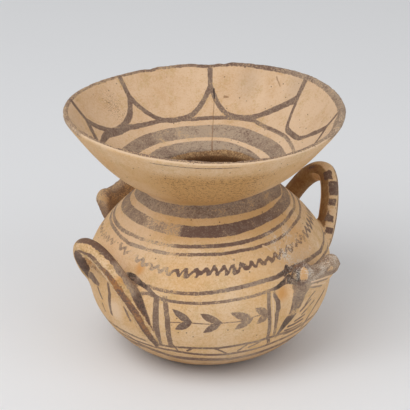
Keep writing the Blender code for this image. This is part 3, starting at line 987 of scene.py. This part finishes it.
# The same by true azimuth, under the left handle and on and beside the front lug, dark and pale
SIDE_MARKS = (
    ((-63.2, 76.6), (-59.2, 69.6), (1.4, 1.2), 0.92), ((-59.9, 63.4), (-58.5, 56.2), (1, 0.7), 0.8),
    ((-51.6, 44.8), (-31.8, 28.9), (0.9, 0.9), 0.66),
    ((-50.6, 33.3), (-41.7, 25.8), (0.8, 0.8), 0.6),
    ((-50.3, 42.2), (-41.3, 43.3), (0.8, 0.8), 0.6), ((47.1, 89.6), (57.3, 86.2), (0.9, 0.9), 0.85),
    ((47.9, 85.3), (56, 80.4), (0.9, 0.9), 0.8), ((48.2, 68.5), (52.3, 77.7), (1, 0.8), 0.84),
    ((45.3, 64.6), (51.6, 70.6), (1, 0.8), 0.84), ((46.6, 60.2), (55, 66.6), (0.9, 0.7), 0.76),
    ((42.7, 56.3), (48.8, 57.9), (1.1, 0.9), 0.9), ((39.2, 52.8), (48.4, 54), (1.1, 0.9), 0.9),
    ((37.8, 49.2), (49.2, 49.2), (1, 0.8), 0.84), ((38.4, 44.5), (52.9, 44), (0.9, 0.7), 0.76),
    ((38.7, 98.9), (41.4, 102.4), (1.7, 2), 1), ((31, 91.4), (36.5, 93.6), (1.2, 2), 1),
    ((36.5, 93.6), (40.6, 96.8), (2, 1.3), 1),
)
PALE_MARKS = (
    ((47.1, 91.4), (57.5, 88.2), (0.7, 0.7), 0.9), ((47.9, 87.4), (58, 81.8), (0.7, 0.7), 0.9),
    ((38.9, 95.6), (35.2, 81.5), (0.6, 0.6), 0.6), ((29.7, 88.6), (29.6, 70), (0.6, 0.6), 0.7),
    ((29.6, 70), (30.3, 51.6), (0.6, 0.6), 0.6), ((32.7, 121.3), (35, 119.6), (0.8, 0.5), 1),
    ((35, 119.6), (36.3, 116.3), (0.5, 0.5), 1), ((53.7, 113.2), (52.6, 112.4), (1.6, 1.2), 0.9),
    ((64.1, 104.4), (62.4, 103.4), (1.6, 1.2), 0.9), ((73.1, 101), (71.6, 99.6), (1.4, 1), 0.9),
)

# The festoons inside the funnel: azimuth, place among the cusps, lowest radius in mm, sharpness
FESTOONS = (
    (-180, 0.058, 82.6, 3), (-172, 0.244, 82.3, 3), (-161, 0.5, 82.2, 3), (-150, 0.744, 82.4, 3),
    (-138.5, 1, 84.6, 2.9), (-129, 1.26, 88.5, 2.6), (-120, 1.5, 88.5, 2.3),
    (-109, 1.756, 88.5, 2.1), (-98.5, 2, 88, 2.3), (-51, 3, 86, 2.5), (-5, 4, 85, 2.5),
    (41, 5, 84, 2.5), (87, 6, 83, 1.8), (98, 6.22, 82.5, 1.7), (112, 6.5, 82.4, 3.4),
    (119, 6.733, 82.4, 5.5), (126.2, 6.973, 82.4, 6), (128.4, 7.022, 82.8, 1.7),
    (142, 7.242, 83, 1.6), (158, 7.5, 83, 2.2), (168, 7.756, 83, 3), (177.5, 8, 83, 3),
    (180, 8.058, 82.6, 3),
)
FESTOON_TOP = 103.5

# Rings inside the funnel: azimuth, inner and outer radius in mm, how well the paint has lasted
RING = (
    (-180, 80.1, 83, 0.85), (-170.8, 79.7, 82.5, 0.85), (-159.7, 80.9, 83.8, 0.85),
    (-150.6, 81.8, 84.9, 0.85), (-139.7, 82.1, 85.4, 0.88), (-130.7, 82.6, 86.6, 0.92),
    (-125.6, 84.2, 89.4, 0.95), (-116.4, 84.8, 90, 0.95), (-104.8, 87.6, 92.4, 0.9),
    (-95.3, 88, 91.8, 0.8), (-40, 86, 89, 0.75), (40, 79, 82, 0.7), (96, 74.6, 77, 0.62),
    (107, 75.3, 78, 0.7), (117, 77, 79.8, 0.75), (127, 77.3, 80.2, 0.8), (139, 78.6, 81.6, 0.8),
    (149, 80.9, 83.9, 0.82), (166, 80.4, 83.4, 0.85), (177, 80.1, 83.2, 0.85),
)
WIDE_ONE = (
    (-180, 64.9, 75.9, 0.88), (-175, 64.9, 75.8, 0.88), (-158, 65.4, 76.4, 0.86),
    (-145, 66.2, 76.7, 0.82), (-132, 66.5, 76.9, 0.76), (-107, 66.8, 77.3, 0.7), (-40, 65, 75, 0.7),
    (40, 60, 71, 0.75), (100, 58, 69.7, 0.8), (120, 59.3, 71.5, 0.86), (134.5, 60.6, 72.9, 0.9),
    (150, 62.3, 75.1, 0.9), (165, 64.2, 76.2, 0.9),
)
WIDE_TWO = (
    (-180, 52, 61.5, 0.95), (-157, 51.8, 62, 0.95), (-141, 51.6, 62.5, 0.9), (-122, 51, 61.3, 0.8),
    (-40, 51, 59, 0.75), (40, 51.5, 55, 0.75), (119, 51.8, 53.6, 0.85), (134, 52.4, 56.1, 0.92),
    (146, 52.8, 57.8, 0.95), (163.5, 52.6, 60.4, 0.95),
)

# Paint on the lip: azimuth, inner radius in mm, greyness, how well it has lasted
LIP_PAINT = (
    (-180, 115, 0, 0.95), (-167, 115.2, 0.1, 0.8), (-150, 115.4, 0.1, 0.88),
    (-138, 115.4, 0.1, 0.7), (-124, 115.4, 0.2, 0.72), (-105, 115.6, 0.2, 0.66),
    (-90, 116, 0.2, 0.66), (-64, 116.6, 0.2, 0.62), (-50, 116.4, 0, 0.74), (-20, 116.4, 0, 0.7),
    (10, 116.4, 0, 0.66), (30, 116.4, 0, 0.78), (52, 116, 0.3, 0.8), (58, 112.6, 0.9, 0.7),
    (68, 109.6, 1, 0.78), (74, 110, 1, 0.82), (82, 110.2, 1, 0.88), (84.6, 113.4, 1, 0.9),
    (110, 113.7, 1, 0.86), (131, 113.8, 0.9, 0.9), (150, 114.4, 0.2, 0.94),
)

# Stripes along the front handle: place along it, edges in degrees round its coil, lasting
LOOP_OUTER_STRIPE = (
    (-1, 50, 150, 0), (-0.24, 50, 158, 0), (-0.19, 50, 158, 0.62), (-0.14, 50, 157, 0.74),
    (-0.06, 50, 148, 0.8), (0, 50, 136, 0.9), (0.07, 50, 133, 0.95), (0.16, 50, 131, 0.95),
    (0.2, 50, 124, 0.92), (0.29, 50, 130, 0.84), (0.34, 50, 132, 0.82), (0.41, 50, 137, 0.84),
    (0.46, 50, 143, 0.95), (0.53, 50, 153, 0.97), (0.6, 50, 150, 0.97), (0.8, 50, 152, 0.95),
    (1, 50, 150, 0.9),
)
LOOP_INNER_STRIPE = (
    (-1, 206, 214, 0), (-0.19, 206, 216, 0), (-0.16, 204, 218, 0.6), (-0.01, 192, 214, 0.8),
    (0.07, 176, 205, 0.88), (0.13, 174, 211, 0.6), (0.18, 177, 214, 0.62), (0.24, 171, 204, 0.72),
    (0.29, 164, 204, 0.86), (0.36, 165, 211, 0.9), (0.41, 161, 213, 0.9), (0.48, 163, 207, 0.92),
    (0.55, 160, 205, 0.92), (0.62, 164, 206, 0.92), (0.72, 169, 210, 0.9), (1, 170, 205, 0.9),
)
LOOP_LIMB = (
    (-1, 262, 300, 0), (-0.76, 266, 300, 0), (-0.69, 262, 312, 0.9), (-0.57, 250, 308, 0.95),
    (-0.43, 226, 300, 0.97), (-0.3, 213, 290, 0.97), (-0.2, 206, 264, 0.92), (-0.12, 214, 250, 0.7),
    (-0.07, 220, 240, 0), (1, 240, 290, 0),
)

# Bars across the back handle, the same way
BACK_BARS = (
    (-1, 87, 140, 0), (-0.705, 87, 140, 0), (-0.7, 87, 140, 0.92), (-0.655, 87, 140, 0.92),
    (-0.65, 87, 140, 0), (-0.605, 63, 125, 0), (-0.6, 63, 125, 0.95), (-0.555, 75, 125, 0.95),
    (-0.545, 80, 90, 0.75), (-0.515, 80, 90, 0.75), (-0.505, 80, 90, 0), (-0.47, 78, 130, 0),
    (-0.46, 78, 130, 0.92), (-0.41, 78, 130, 0.92), (-0.4, 78, 130, 0), (-0.378, 80, 150, 0),
    (-0.37, 80, 150, 0.95), (-0.24, 80, 150, 0.95), (-0.23, 80, 150, 0), (-0.218, 55, 110, 0),
    (-0.21, 55, 110, 0.92), (-0.11, 55, 110, 0.92), (-0.1, 55, 110, 0), (0.08, 50, 65, 0),
    (0.09, 50, 65, 0.85), (0.17, 50, 65, 0.85), (0.18, 50, 65, 0), (1, 50, 65, 0),
)

# Shares by azimuth or level: tan below the funnel, partly painted shade; painted shade darkening
# towards the foot; grey and faded paint
UNDER_FUNNEL_TAN_AND_SHADE = ((-180, 0.6), (-60, 0.15), (-34, 0.4), (-15, 1), (18, 1), (40, 0.3))
FOOT_SHADE = ((0, 0.75), (14, 0.55), (26, 0.28), (36, 0.04), (40, 0))
GREYNESS = (
    (0, 0.3), (104, 0.3), (108, 0.15), (126, 0.2), (133, 0.05), (141, 0.05), (144.5, 0.7),
    (156, 0.75), (157, 0.35), (260, 0.35),
)
FADED_HIGH = (
    (-180, 0.3), (-90, 0.5), (-52, 0.5), (-47, 0.85), (-22, 0.8), (-18, 0.04), (30, 0.04),
    (60, 0.25), (90, 0.4),
)
FADED_TOP = (
    (-180, 0.3), (-90, 0.6), (-55, 0.78), (-38, 0.66), (-14, 0.25), (10, 0.14), (40, 0.28),
    (90, 0.4),
)
FADED_LOW = (
    (-90, 0.2), (-25, 0.2), (-9, 0), (0, 0.08), (10, 0.4), (20, 0.5), (26, 0.5), (30, 0.2),
    (48, 0.3),
)
FADED_RINGS = (
    (-180, 0.95), (-165, 0.8), (-150, 0.42), (-112, 0.35), (-90, 0.6), (0, 0.7), (90, 0.55),
    (128, 0.46), (150, 0.72), (166, 0.88),
)

# Soft spots of colour on the body: azimuth, level, radius and softness in mm, strength. The lit
# spot on the left shoulder is painted light, the tan spot on the right shoulder painted shade
ORANGE_SPOTS = ((-37, 109.5, 4.5, 3.5, 1), (34.8, 86, 5.5, 4.5, 1), (60, 118, 14, 12, 0.35))
ROSE_SPOTS = ((-49, 66, 9, 5, 0.8),)
TAN_SHADE_SPOTS = ((42, 124, 26, 22, 0.4),)
LIT_SPOTS = ((-58, 128, 30, 26, 0.5),)
BLACK_SPOTS = (
    (-40, 102.5, 5.5, 2, 1), (-33, 99, 5, 2, 1), (40, 100.5, 5, 2, 1), (36, 94, 8, 4, 1),
    (38, 57, 7, 3, 0.7),
)

# The funnel's crack, then its seams: start and end as azimuth and radius, half widths, softness
CRACKS = (
    ((175.7, 101.5), (175.2, 95.5), (0.7, 0.5), 0.3),
    ((175.2, 95.5), (175.9, 66), (0.4, 0.4), 0.35), ((175.9, 66), (175.4, 52), (0.4, 0.6), 0.35),
    ((144, 111.5), (140.4, 107), (0.5, 0.3), 0.4), ((169.8, 96.8), (167.6, 96.6), (0.9, 0.4), 0.3),
)


def flat(azimuth, level):
    """Where a place on the belly lies on the flat, in millimetres round and up."""
    return azimuth * BELLY_MM_PER_DEGREE, level


def plan_place(azimuth, radius):
    """Where a place seen from above lies, in millimetres across and back."""
    turn = math.radians(azimuth)
    return radius * math.sin(turn), -radius * math.cos(turn)


def strongest(covers):
    """The most of several coverages, each taken in as soon as it is made."""
    cover = None
    for other in covers:
        cover = other if cover is None else cover.most(other)
    return cover


def spots(clay, place, rows):
    """The most of several soft round spots on the body."""
    return strongest(
        clay.blob(place, flat(azimuth, level), radius, soft) * strength
        for azimuth, level, radius, soft, strength in rows
    )


def marks(clay, place, rows):
    """Short brush marks on the body, one by one."""
    for start, end, halves, lasting in rows:
        yield clay.stroke(place, flat(*start), flat(*end), halves, 0.3) * lasting


def body_covers(clay, azimuth, folded, level, around_pot, unrest):
    """How well each band, line, leaf and mark on the outside of the body has lasted, one by one."""
    for stops in (BAND_A, BAND_B, LINE_C, LINE_D, LINE_F, LINE_G, STAIN_LINE, LIMB_STAIN):
        yield clay.stripe(level, azimuth, ROUND, stops)
    middle, half, lasting = clay.table(azimuth, ROUND, ZIGZAG)
    steps = (azimuth - (level - middle) * ZIGZAG_SHEAR - ZIGZAG_START) * (1.0 / ZIGZAG_PERIOD)
    phase = steps * (2.0 * math.pi) + unrest * 7.0
    half = half * (unrest * 3.0 + 1.0)
    slope = phase.sine() * half * 0.50
    steep = (slope * slope + 1.0) ** 0.5
    swing = (phase - 0.5 * math.pi).sine() * half * 0.72
    yield clay.step(abs(level - middle - swing) / steep, 1.75, 1.15) * lasting

    for stops in (LINE_H, LINE_I, LINE_J, BRANCH_STEM):
        yield clay.stripe(level, folded, FOLDED, stops)
    for value, stripes in ((folded, UPRIGHTS), (azimuth, SIDE_STRIPES)):
        for stops in stripes:
            yield clay.stripe(value, level, BODY_LEVELS, stops, 0.16, 100.0)

    front = clay.point(folded * BELLY_MM_PER_DEGREE, level)
    for node, upper, lower, upper_lasting, lower_lasting in BRANCH:
        for tip, lasting in ((upper, upper_lasting), (lower, lower_lasting)):
            yield clay.stroke(front, flat(*node), flat(*tip), (1.3, 0.1), 0.35, belly=2.5) * lasting
    yield from marks(clay, front, PANEL_MARKS)
    yield from marks(clay, around_pot, SIDE_MARKS)


def funnel_covers(clay, azimuth, radius):
    """How well each ring, festoon and stem on the inside of the funnel has lasted, one by one."""
    for stops in (RING, WIDE_ONE, WIDE_TWO):
        yield clay.stripe(radius, azimuth, ROUND, stops)
    place, lowest, sharpness = clay.table(azimuth, ROUND, FESTOONS)
    away = place.pingpong(0.5) * 2.0
    share = (1.0 - away).most(0.02)
    arc = lowest + (FESTOON_TOP - lowest) * share ** sharpness
    slope = (share ** (sharpness - 1.0)) * sharpness * 0.62
    steep = (slope * slope + 1.0) ** 0.5
    yield clay.step(abs(radius - arc) / steep, 2.3, 1.6) * clay.step(radius, 105.0, 104.0) * 0.9
    yield clay.step(away, 0.068, 0.044) * clay.step(radius, 101.0, 103.0) * 0.95


def painted_clay():
    """Buff slip with worn dark paint: everything on the outside, and the inside of the funnel."""
    clay = Tree("painted_clay")
    place = clay.node("ShaderNodeTexCoord", {}, {}, "Object")
    turned = clay.attribute("turned", "Vector")
    inside = clay.attribute("inside", "Fac")
    outside = 1.0 - inside
    right = clay.step(clay.parts(turned)[0], -0.0005, 0.0005)
    left = 1.0 - right
    slow, fast = [
        clay.vector("SUBTRACT", clay.noise(place, *layer, "Color"), (0.5, 0.5, 0.5))
        for layer in (SLOW_UNREST, FAST_UNREST)
    ]
    brush = clay.vector("ADD", clay.scaled(slow, 2.0), clay.scaled(fast, 1.1))
    x, y, z = clay.parts(clay.vector("ADD", clay.scaled(turned, 1000.0), brush))
    azimuth = x.arctan2(y * -1.0) * DEGREE
    radius = (x * x + y * y) ** 0.5
    folded = azimuth.wrap(90.0, -90.0)
    level = z * (1.0 - x * LINE_TILT)
    around_pot = clay.point(azimuth * BELLY_MM_PER_DEGREE, level)
    plan = clay.point(x, y)
    grain, patch, cloud, mottle = [
        clay.noise(place, *layer) for layer in (GRAIN, PATCH, CLOUD, MOTTLE)
    ]
    grained, patched, mottled = grain - 0.5, patch - 0.5, mottle - 0.5

    # Where the clay is: body, loop, lug, lip, and the funnel's throat with the dark below it
    at_lip = clay.step(z, 205.0, 206.0)
    on_body = clay.step(z, 157.0, 155.8) * outside
    on_loop, on_lug = [
        clay.step(clay.attribute(gap, "Fac"), 0.0012, 0.0004) for gap in ("loop_gap", "lug_gap")
    ]
    front_loop, back_loop = on_loop * left, on_loop * right
    front_lug, back_lug = on_lug * right, on_lug * left
    bare_body = on_body * (1.0 - on_loop)
    deep = clay.step(radius, 53.8, 52.2) * inside * clay.step(z, 150.0, 152.0)
    hollow = clay.step(z, 157.0, 154.5) * inside

    # How well the paint has lasted on the body and in the funnel
    outer = strongest(body_covers(clay, azimuth, folded, level, around_pot, patched))
    pale = strongest(marks(clay, around_pot, PALE_MARKS)) * outside
    inner = strongest(funnel_covers(clay, azimuth, radius))
    kept = outer * bare_body * clay.step(on_lug * clay.step(level, 96.0, 98.5), 0.6, 0.4)
    kept = kept.most(inner * inside)

    # On the lip, and the line under it at the front
    edge = (radius - 120.0) * 0.566 + (z - 217.0) * 0.825
    rim = clay.step(edge, -0.6, 0.2).most(inside * at_lip)
    lip_inner, lip_grey, lip_lasting = clay.table(azimuth, ROUND, LIP_PAINT)
    near_lip = clay.band(azimuth, -58.0, 58.0, 4.0)
    rim = rim * (1.0 - near_lip) + clay.step(inside, 0.44, 0.60) * near_lip
    lip = clay.step(radius - lip_inner, -0.4, 0.4) * rim * at_lip
    under_lip = clay.band(edge, -2.2, -1.2, 0.3) * clay.band(azimuth, -20.0, 13.0, 3.0) * outside
    kept = kept.most(lip * lip_lasting).most(under_lip * at_lip * 0.9)

    # On the handles
    along, side, out = clay.parts(clay.attribute("loop", "Vector"))
    turn = side.arctan2(out) * DEGREE + 200.0 + clay.parts(fast)[0] * 24.0
    loop_paint = strongest(
        clay.stripe(turn, along, LOOP_LENGTH, stops, 3.0)
        for stops in (LOOP_OUTER_STRIPE, LOOP_INNER_STRIPE, LOOP_LIMB)
    )
    back_paint = clay.stripe(turn, along, LOOP_LENGTH, BACK_BARS, 3.0)
    back_paint = back_paint.most(clay.band(turn, 143.0, 157.0, 3.0) * 0.66)
    kept = kept.most((front_loop * loop_paint).most(back_loop * back_paint))

    # On the lugs: a painted plate with an eye, and a ring round the broken ear
    across, height, _ = clay.parts(clay.scaled(clay.attribute("lug", "Vector"), 1000.0))
    from_break = clay.point((across + 16.4) * 0.31, (height - 104.0) * 0.145)
    oval = clay.node("ShaderNodeVectorMath", {"operation": "LENGTH"}, {0: from_break}, "Value")
    plate = clay.band(across, -22.0, 22.0, 1.0) * clay.step(height + across * 0.1, 94.4, 95.6)
    eye = clay.blob(clay.point(across, height), (7.8, 102.2), 2.3, 1.2)
    lug_paint = plate * 0.78 * (1.0 - eye * 0.8)
    lug_paint = (lug_paint * clay.step(oval, 1.0, 1.1)).most(clay.band(oval, 1.0, 1.6, 0.15) * 0.95)
    worn_lug = clay.step(height, 78.0, 96.0) * 0.45
    kept = kept.most((front_lug * lug_paint).most(back_lug * worn_lug))
    kept = kept * (1.0 - pale * 0.85)

    def mixed(weights):
        """Fine, coarse and mottled noise together, each by its weight."""
        return grained * weights[0] + patched * weights[1] + mottled * weights[2]

    wear = mixed(WEAR_MIX) + 0.40 + lip * mottled * 4.0
    cover = clay.step(kept - wear, -0.08, 0.08) * clay.step(kept, 0.03, 0.20) * 0.66 + kept * 0.32

    dirt = mixed(DIRT_MIX) - inside * 0.12
    speckle = grain * 0.6 + patch * 0.4

    def slip_layers():
        """What lies on the bare slip, painted shade and light among it, from the bottom up: how
        much of it, and its colour.
        """
        far_side = clay.band(azimuth, 60.0, 150.0, 30.0) * inside
        share = (cloud - 0.5) * 2.6 + 0.4 + far_side * 0.6
        yield share, clay.blend(inside, SLIP_PALE, SLIP_ROSE)
        yield clay.step(patch, 0.50, 0.72) * 0.34, SLIP_OLIVE
        yield dirt + 0.08, SLIP_TAN
        yield dirt * -0.9, SLIP_ROSE
        # Tan on the funnel's outside, strongest at the front: partly the slip's own tan, partly
        # painted shade on its down-turned face
        under_funnel = clay.step(z, 153.0, 157.0) * clay.step(z, 212.0, 196.0) * outside
        yield under_funnel * clay.ramp(azimuth, ROUND, UNDER_FUNNEL_TAN_AND_SHADE), SLIP_TAN
        # Painted shade under the belly: brown deepening towards the foot
        yield clay.ramp(level, FOOT_LEVELS, FOOT_SHADE) * (0.6 + patch * 0.8) * on_body, CLAY_BROWN
        yield pale, SLIP_ROSE
        yield spots(clay, around_pot, ORANGE_SPOTS) * on_body * 0.85, SLIP_ORANGE
        yield spots(clay, around_pot, ROSE_SPOTS) * on_body, SLIP_ROSE
        yield front_loop * clay.step(speckle, 0.46, 0.58) * 0.60, OCHRE
        # Painted shade: a tan patch on the right shoulder
        yield spots(clay, around_pot, TAN_SHADE_SPOTS) * on_body, SLIP_TAN
        # Painted shade on the shoulder under the funnel
        shade_under_funnel = clay.band(level, 130.0, 158.0, 5.0) * clay.band(azimuth, -34.0, 70.0, 16.0)
        yield shade_under_funnel * on_body * 0.58, SLIP_TAN
        # Painted light: a paler patch on the left shoulder
        yield spots(clay, around_pot, LIT_SPOTS) * bare_body, SLIP_ROSE
        # Ochre and brown on the back handle's side: partly its clay, partly painted shade
        ochre_and_shade = clay.step(turn, 84.0, 72.0).most(clay.step(along, 0.10, 0.20)) * back_loop
        yield ochre_and_shade * 0.9, clay.blend(patch * 3.0 + grain * 2.4 - 2.0, OCHRE, CLAY_BROWN)
        yield clay.step(oval, 1.02, 0.92) * front_lug * 0.5, SLIP_ORANGE
        # Painted shade on the right half of the back lug
        shade_on_back_lug = clay.band(height, 88.0, 106.0, 5.0) * clay.step(across, -4.0, 8.0)
        yield shade_on_back_lug * back_lug * 0.7, CLAY_BROWN
        yield clay.band(inside, 0.05, 0.50, 0.1) * at_lip * 0.9, SLIP_ROSE
        ends = plan_place(-155.4, 103.7), plan_place(-159.7, 94)
        clouds = clay.blob(plan, plan_place(144, 109), 7.0, 6.0)
        clouds = clouds.most(clay.stroke(plan, *ends, (3.0, 2.0), 2.5) * 0.7)
        yield clouds * clay.step(patch, 0.30, 0.60) * inside * 0.6, SLIP_TAN
        ashes = clay.blob(plan, plan_place(131, 110), 9.0, 8.0)
        ashes = ashes.most(clay.blob(plan, plan_place(158, 106), 9.0, 9.0))
        yield ashes * inside * 0.30, PAINT_PALE
        yield deep * 0.92, clay.blend(grain * 5.0 + mottle * 3.0 - 3.45, CLAY_BROWN, SLIP)
        # Dark brown bare clay inside the body: partly its clay, partly painted shade in the hollow
        yield hollow, CLAY_BROWN

    slip = clay.laid_over(clay.blend(inside, SLIP, SLIP_FUNNEL), slip_layers())

    greyness = clay.ramp(level, ALL_LEVELS, GREYNESS) + mixed(GREY_MIX)
    greyness = greyness + inside * 0.15 + lip * (lip_grey - 0.5)
    top, high = clay.step(level, 143.0, 144.4), clay.step(level, 98.0, 104.0)
    faded_high, faded_top = [clay.ramp(azimuth, ROUND, stops) for stops in (FADED_HIGH, FADED_TOP)]
    faded_high = faded_high * (1.0 - top) + faded_top * top
    faded_low = clay.ramp(folded, FOLDED, FADED_LOW)
    faded = (faded_high * high + faded_low * (1.0 - high)) * outside * (1.0 - on_loop)
    faded_rings = clay.step(radius, 79.0, 77.5) * clay.ramp(azimuth, ROUND, FADED_RINGS)
    faded = faded + inside * (faded_rings + 0.12) + lip * lip_grey * 0.4
    faded = faded + front_lug * clay.step(height, 76.0, 86.0) * 0.35 * clay.step(oval, 1.5, 1.8)
    worn_outer = clay.band(along, 0.22, 0.46, 0.03) * clay.step(turn, 150.0, 140.0)
    faded = faded + front_loop * worn_outer * 0.55

    def paint_layers():
        """How the dark paint has changed, from the bottom up: how much of it, and its colour."""
        yield faded * (mottle * 2.4 + grain * 3.4 + patch * 2.0 - 2.9), PAINT_PALE
        rust = clay.band(along, 0.22, 0.42, 0.04) * clay.band(turn, 158.0, 216.0, 8.0)
        high_rust = clay.band(along, 0.42, 0.76, 0.04) * clay.band(turn, 140.0, 200.0, 8.0)
        yield rust.most(high_rust * 0.75) * front_loop * clay.step(speckle, 0.45, 0.56), PAINT_RUST
        sooty = clay.band(along, 0.47, 0.80, 0.03) * clay.step(turn, 152.0, 142.0)
        sooty = sooty.most(clay.band(along, -0.70, -0.30, 0.05) * clay.step(turn, 225.0, 240.0))
        yield sooty * front_loop * clay.step(grain, 0.47, 0.57) * 0.8, PAINT_BLACK
        black = spots(clay, around_pot, BLACK_SPOTS) * bare_body
        yield black * clay.step(grain + patch * 0.6, 0.70, 0.82) * 0.9, PAINT_BLACK

    paint = clay.laid_over(clay.blend(greyness, PAINT_DARK, PAINT_GREY), paint_layers())

    cells = {"Vector": place, "Scale": 170.0}
    away = clay.node("ShaderNodeTexVoronoi", {}, cells, "Distance")
    draw = clay.node("ShaderNodeTexVoronoi", {}, cells, "Color")
    drawn = clay.step(clay.parts(draw, "ShaderNodeSeparateColor")[0], 0.56, 0.60)
    specks = clay.step(away, 0.14, 0.07) * drawn

    def top_layers():
        """What lies on slip and paint alike, from the bottom up: how much of it, and its colour."""
        salts = clay.stroke(around_pot, flat(47.0, 122.0), flat(59.0, 106.0), (5.0, 4.0), 4.0)
        salts = salts.most(clay.blob(around_pot, flat(48.0, 112.0), 20.0, 12.0)) * on_body
        yield salts * clay.step(mottle * 0.6 + patch * 0.4, 0.51, 0.58) * 0.65, SLIP_WHITE
        crack, *seams = [
            clay.stroke(plan, plan_place(*start), plan_place(*end), halves, soft)
            for start, end, halves, soft in CRACKS
        ]
        yield crack * inside * 0.95, PAINT_BLACK
        yield strongest(seams) * inside * 0.65, CLAY_BROWN
        dusty = clay.band(azimuth, -26.0, 34.0, 12.0) * clay.band(z, 162.0, 206.0, 8.0) * outside
        dusty = dusty.most(clay.blob(plan, plan_place(-126, 101), 9.0, 7.0) * inside * 0.8)
        dusty = dusty.most(on_body * 0.25).most(deep * 1.4)
        streak = clay.noise(clay.point(azimuth * 0.9, z), 0.55, 3.0, 0.7)
        dust = mottle * 0.5 + (streak * outside + mottle * inside) * 0.5 + dusty * 0.12
        yield clay.step(dust, 0.63, 0.70) * clay.step(dusty, 0.05, 0.3) * 0.6, SPECK
        yield specks * (1.0 - hollow) * 0.75, SPECK

    colour = clay.laid_over(clay.blend(cover, slip, paint), top_layers())
    relief = grain * 0.5 + patch * 0.8 - specks * 0.3
    bump = clay.node("ShaderNodeBump", {}, {"Height": relief, "Strength": 0.35, "Distance": 0.0010})
    clay.feed(clay.shader, {
        "Base Color": colour, "Normal": bump, "Roughness": 0.82, "Specular IOR Level": 0.25,
    })
    return clay.material


def area_light(name, place, aim, energy, size):
    """A soft square light at a place, aimed at a point."""
    lamp = bpy.data.lights.new(name, "AREA")
    lamp.energy = energy
    lamp.size = size
    thing = bpy.data.objects.new(name, lamp)
    thing.location = place
    thing.rotation_euler = (Vector(aim) - Vector(place)).to_track_quat("-Z", "Y").to_euler()
    bpy.context.scene.collection.objects.link(thing)


def set_stage():
    """A plain pale floor, soft light from above on the left, the camera at the photo's angle."""
    floor = added(
        "floor", bpy.ops.mesh.primitive_circle_add,
        vertices=96, radius=9.0, fill_type="NGON", location=(0, 0, 0),
    )
    finish = Tree("pale_floor")
    finish.feed(finish.shader, {"Base Color": (0.87, 0.88, 0.90, 1.0), "Roughness": 0.9})
    floor.data.materials.append(finish.material)

    area_light("key", place=(-1.1, -1.2, 2.2), aim=(0.0, 0.0, 0.12), energy=33.0, size=1.9)
    area_light("fill", place=(1.6, -1.4, 1.6), aim=(0.1, 0.1, 0.0), energy=11.0, size=2.0)
    world = bpy.data.worlds.new("studio")
    world.use_nodes = True
    sky = world.node_tree.nodes["Background"].inputs
    sky["Color"].default_value = (1.0, 1.0, 1.0, 1.0)
    sky["Strength"].default_value = 0.48
    scene = bpy.context.scene
    scene.world = world
    scene.view_settings.view_transform = "Standard"

    lens = bpy.data.cameras.new("view")
    lens.sensor_width = 36.0
    lens.lens = FOCAL_PIXELS / PHOTO_PIXELS * lens.sensor_width
    camera = bpy.data.objects.new("view", lens)
    camera.location = CAMERA_PLACE
    camera.rotation_euler = (math.radians(90.0 - CAMERA_DOWN), 0.0, 0.0)
    scene.collection.objects.link(camera)
    scene.camera = camera


olla, fittings = build_olla()
note_places(olla, fittings)
olla.data.materials.clear()
olla.data.materials.append(painted_clay())
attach(olla, "root")
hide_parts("olla")
set_stage()
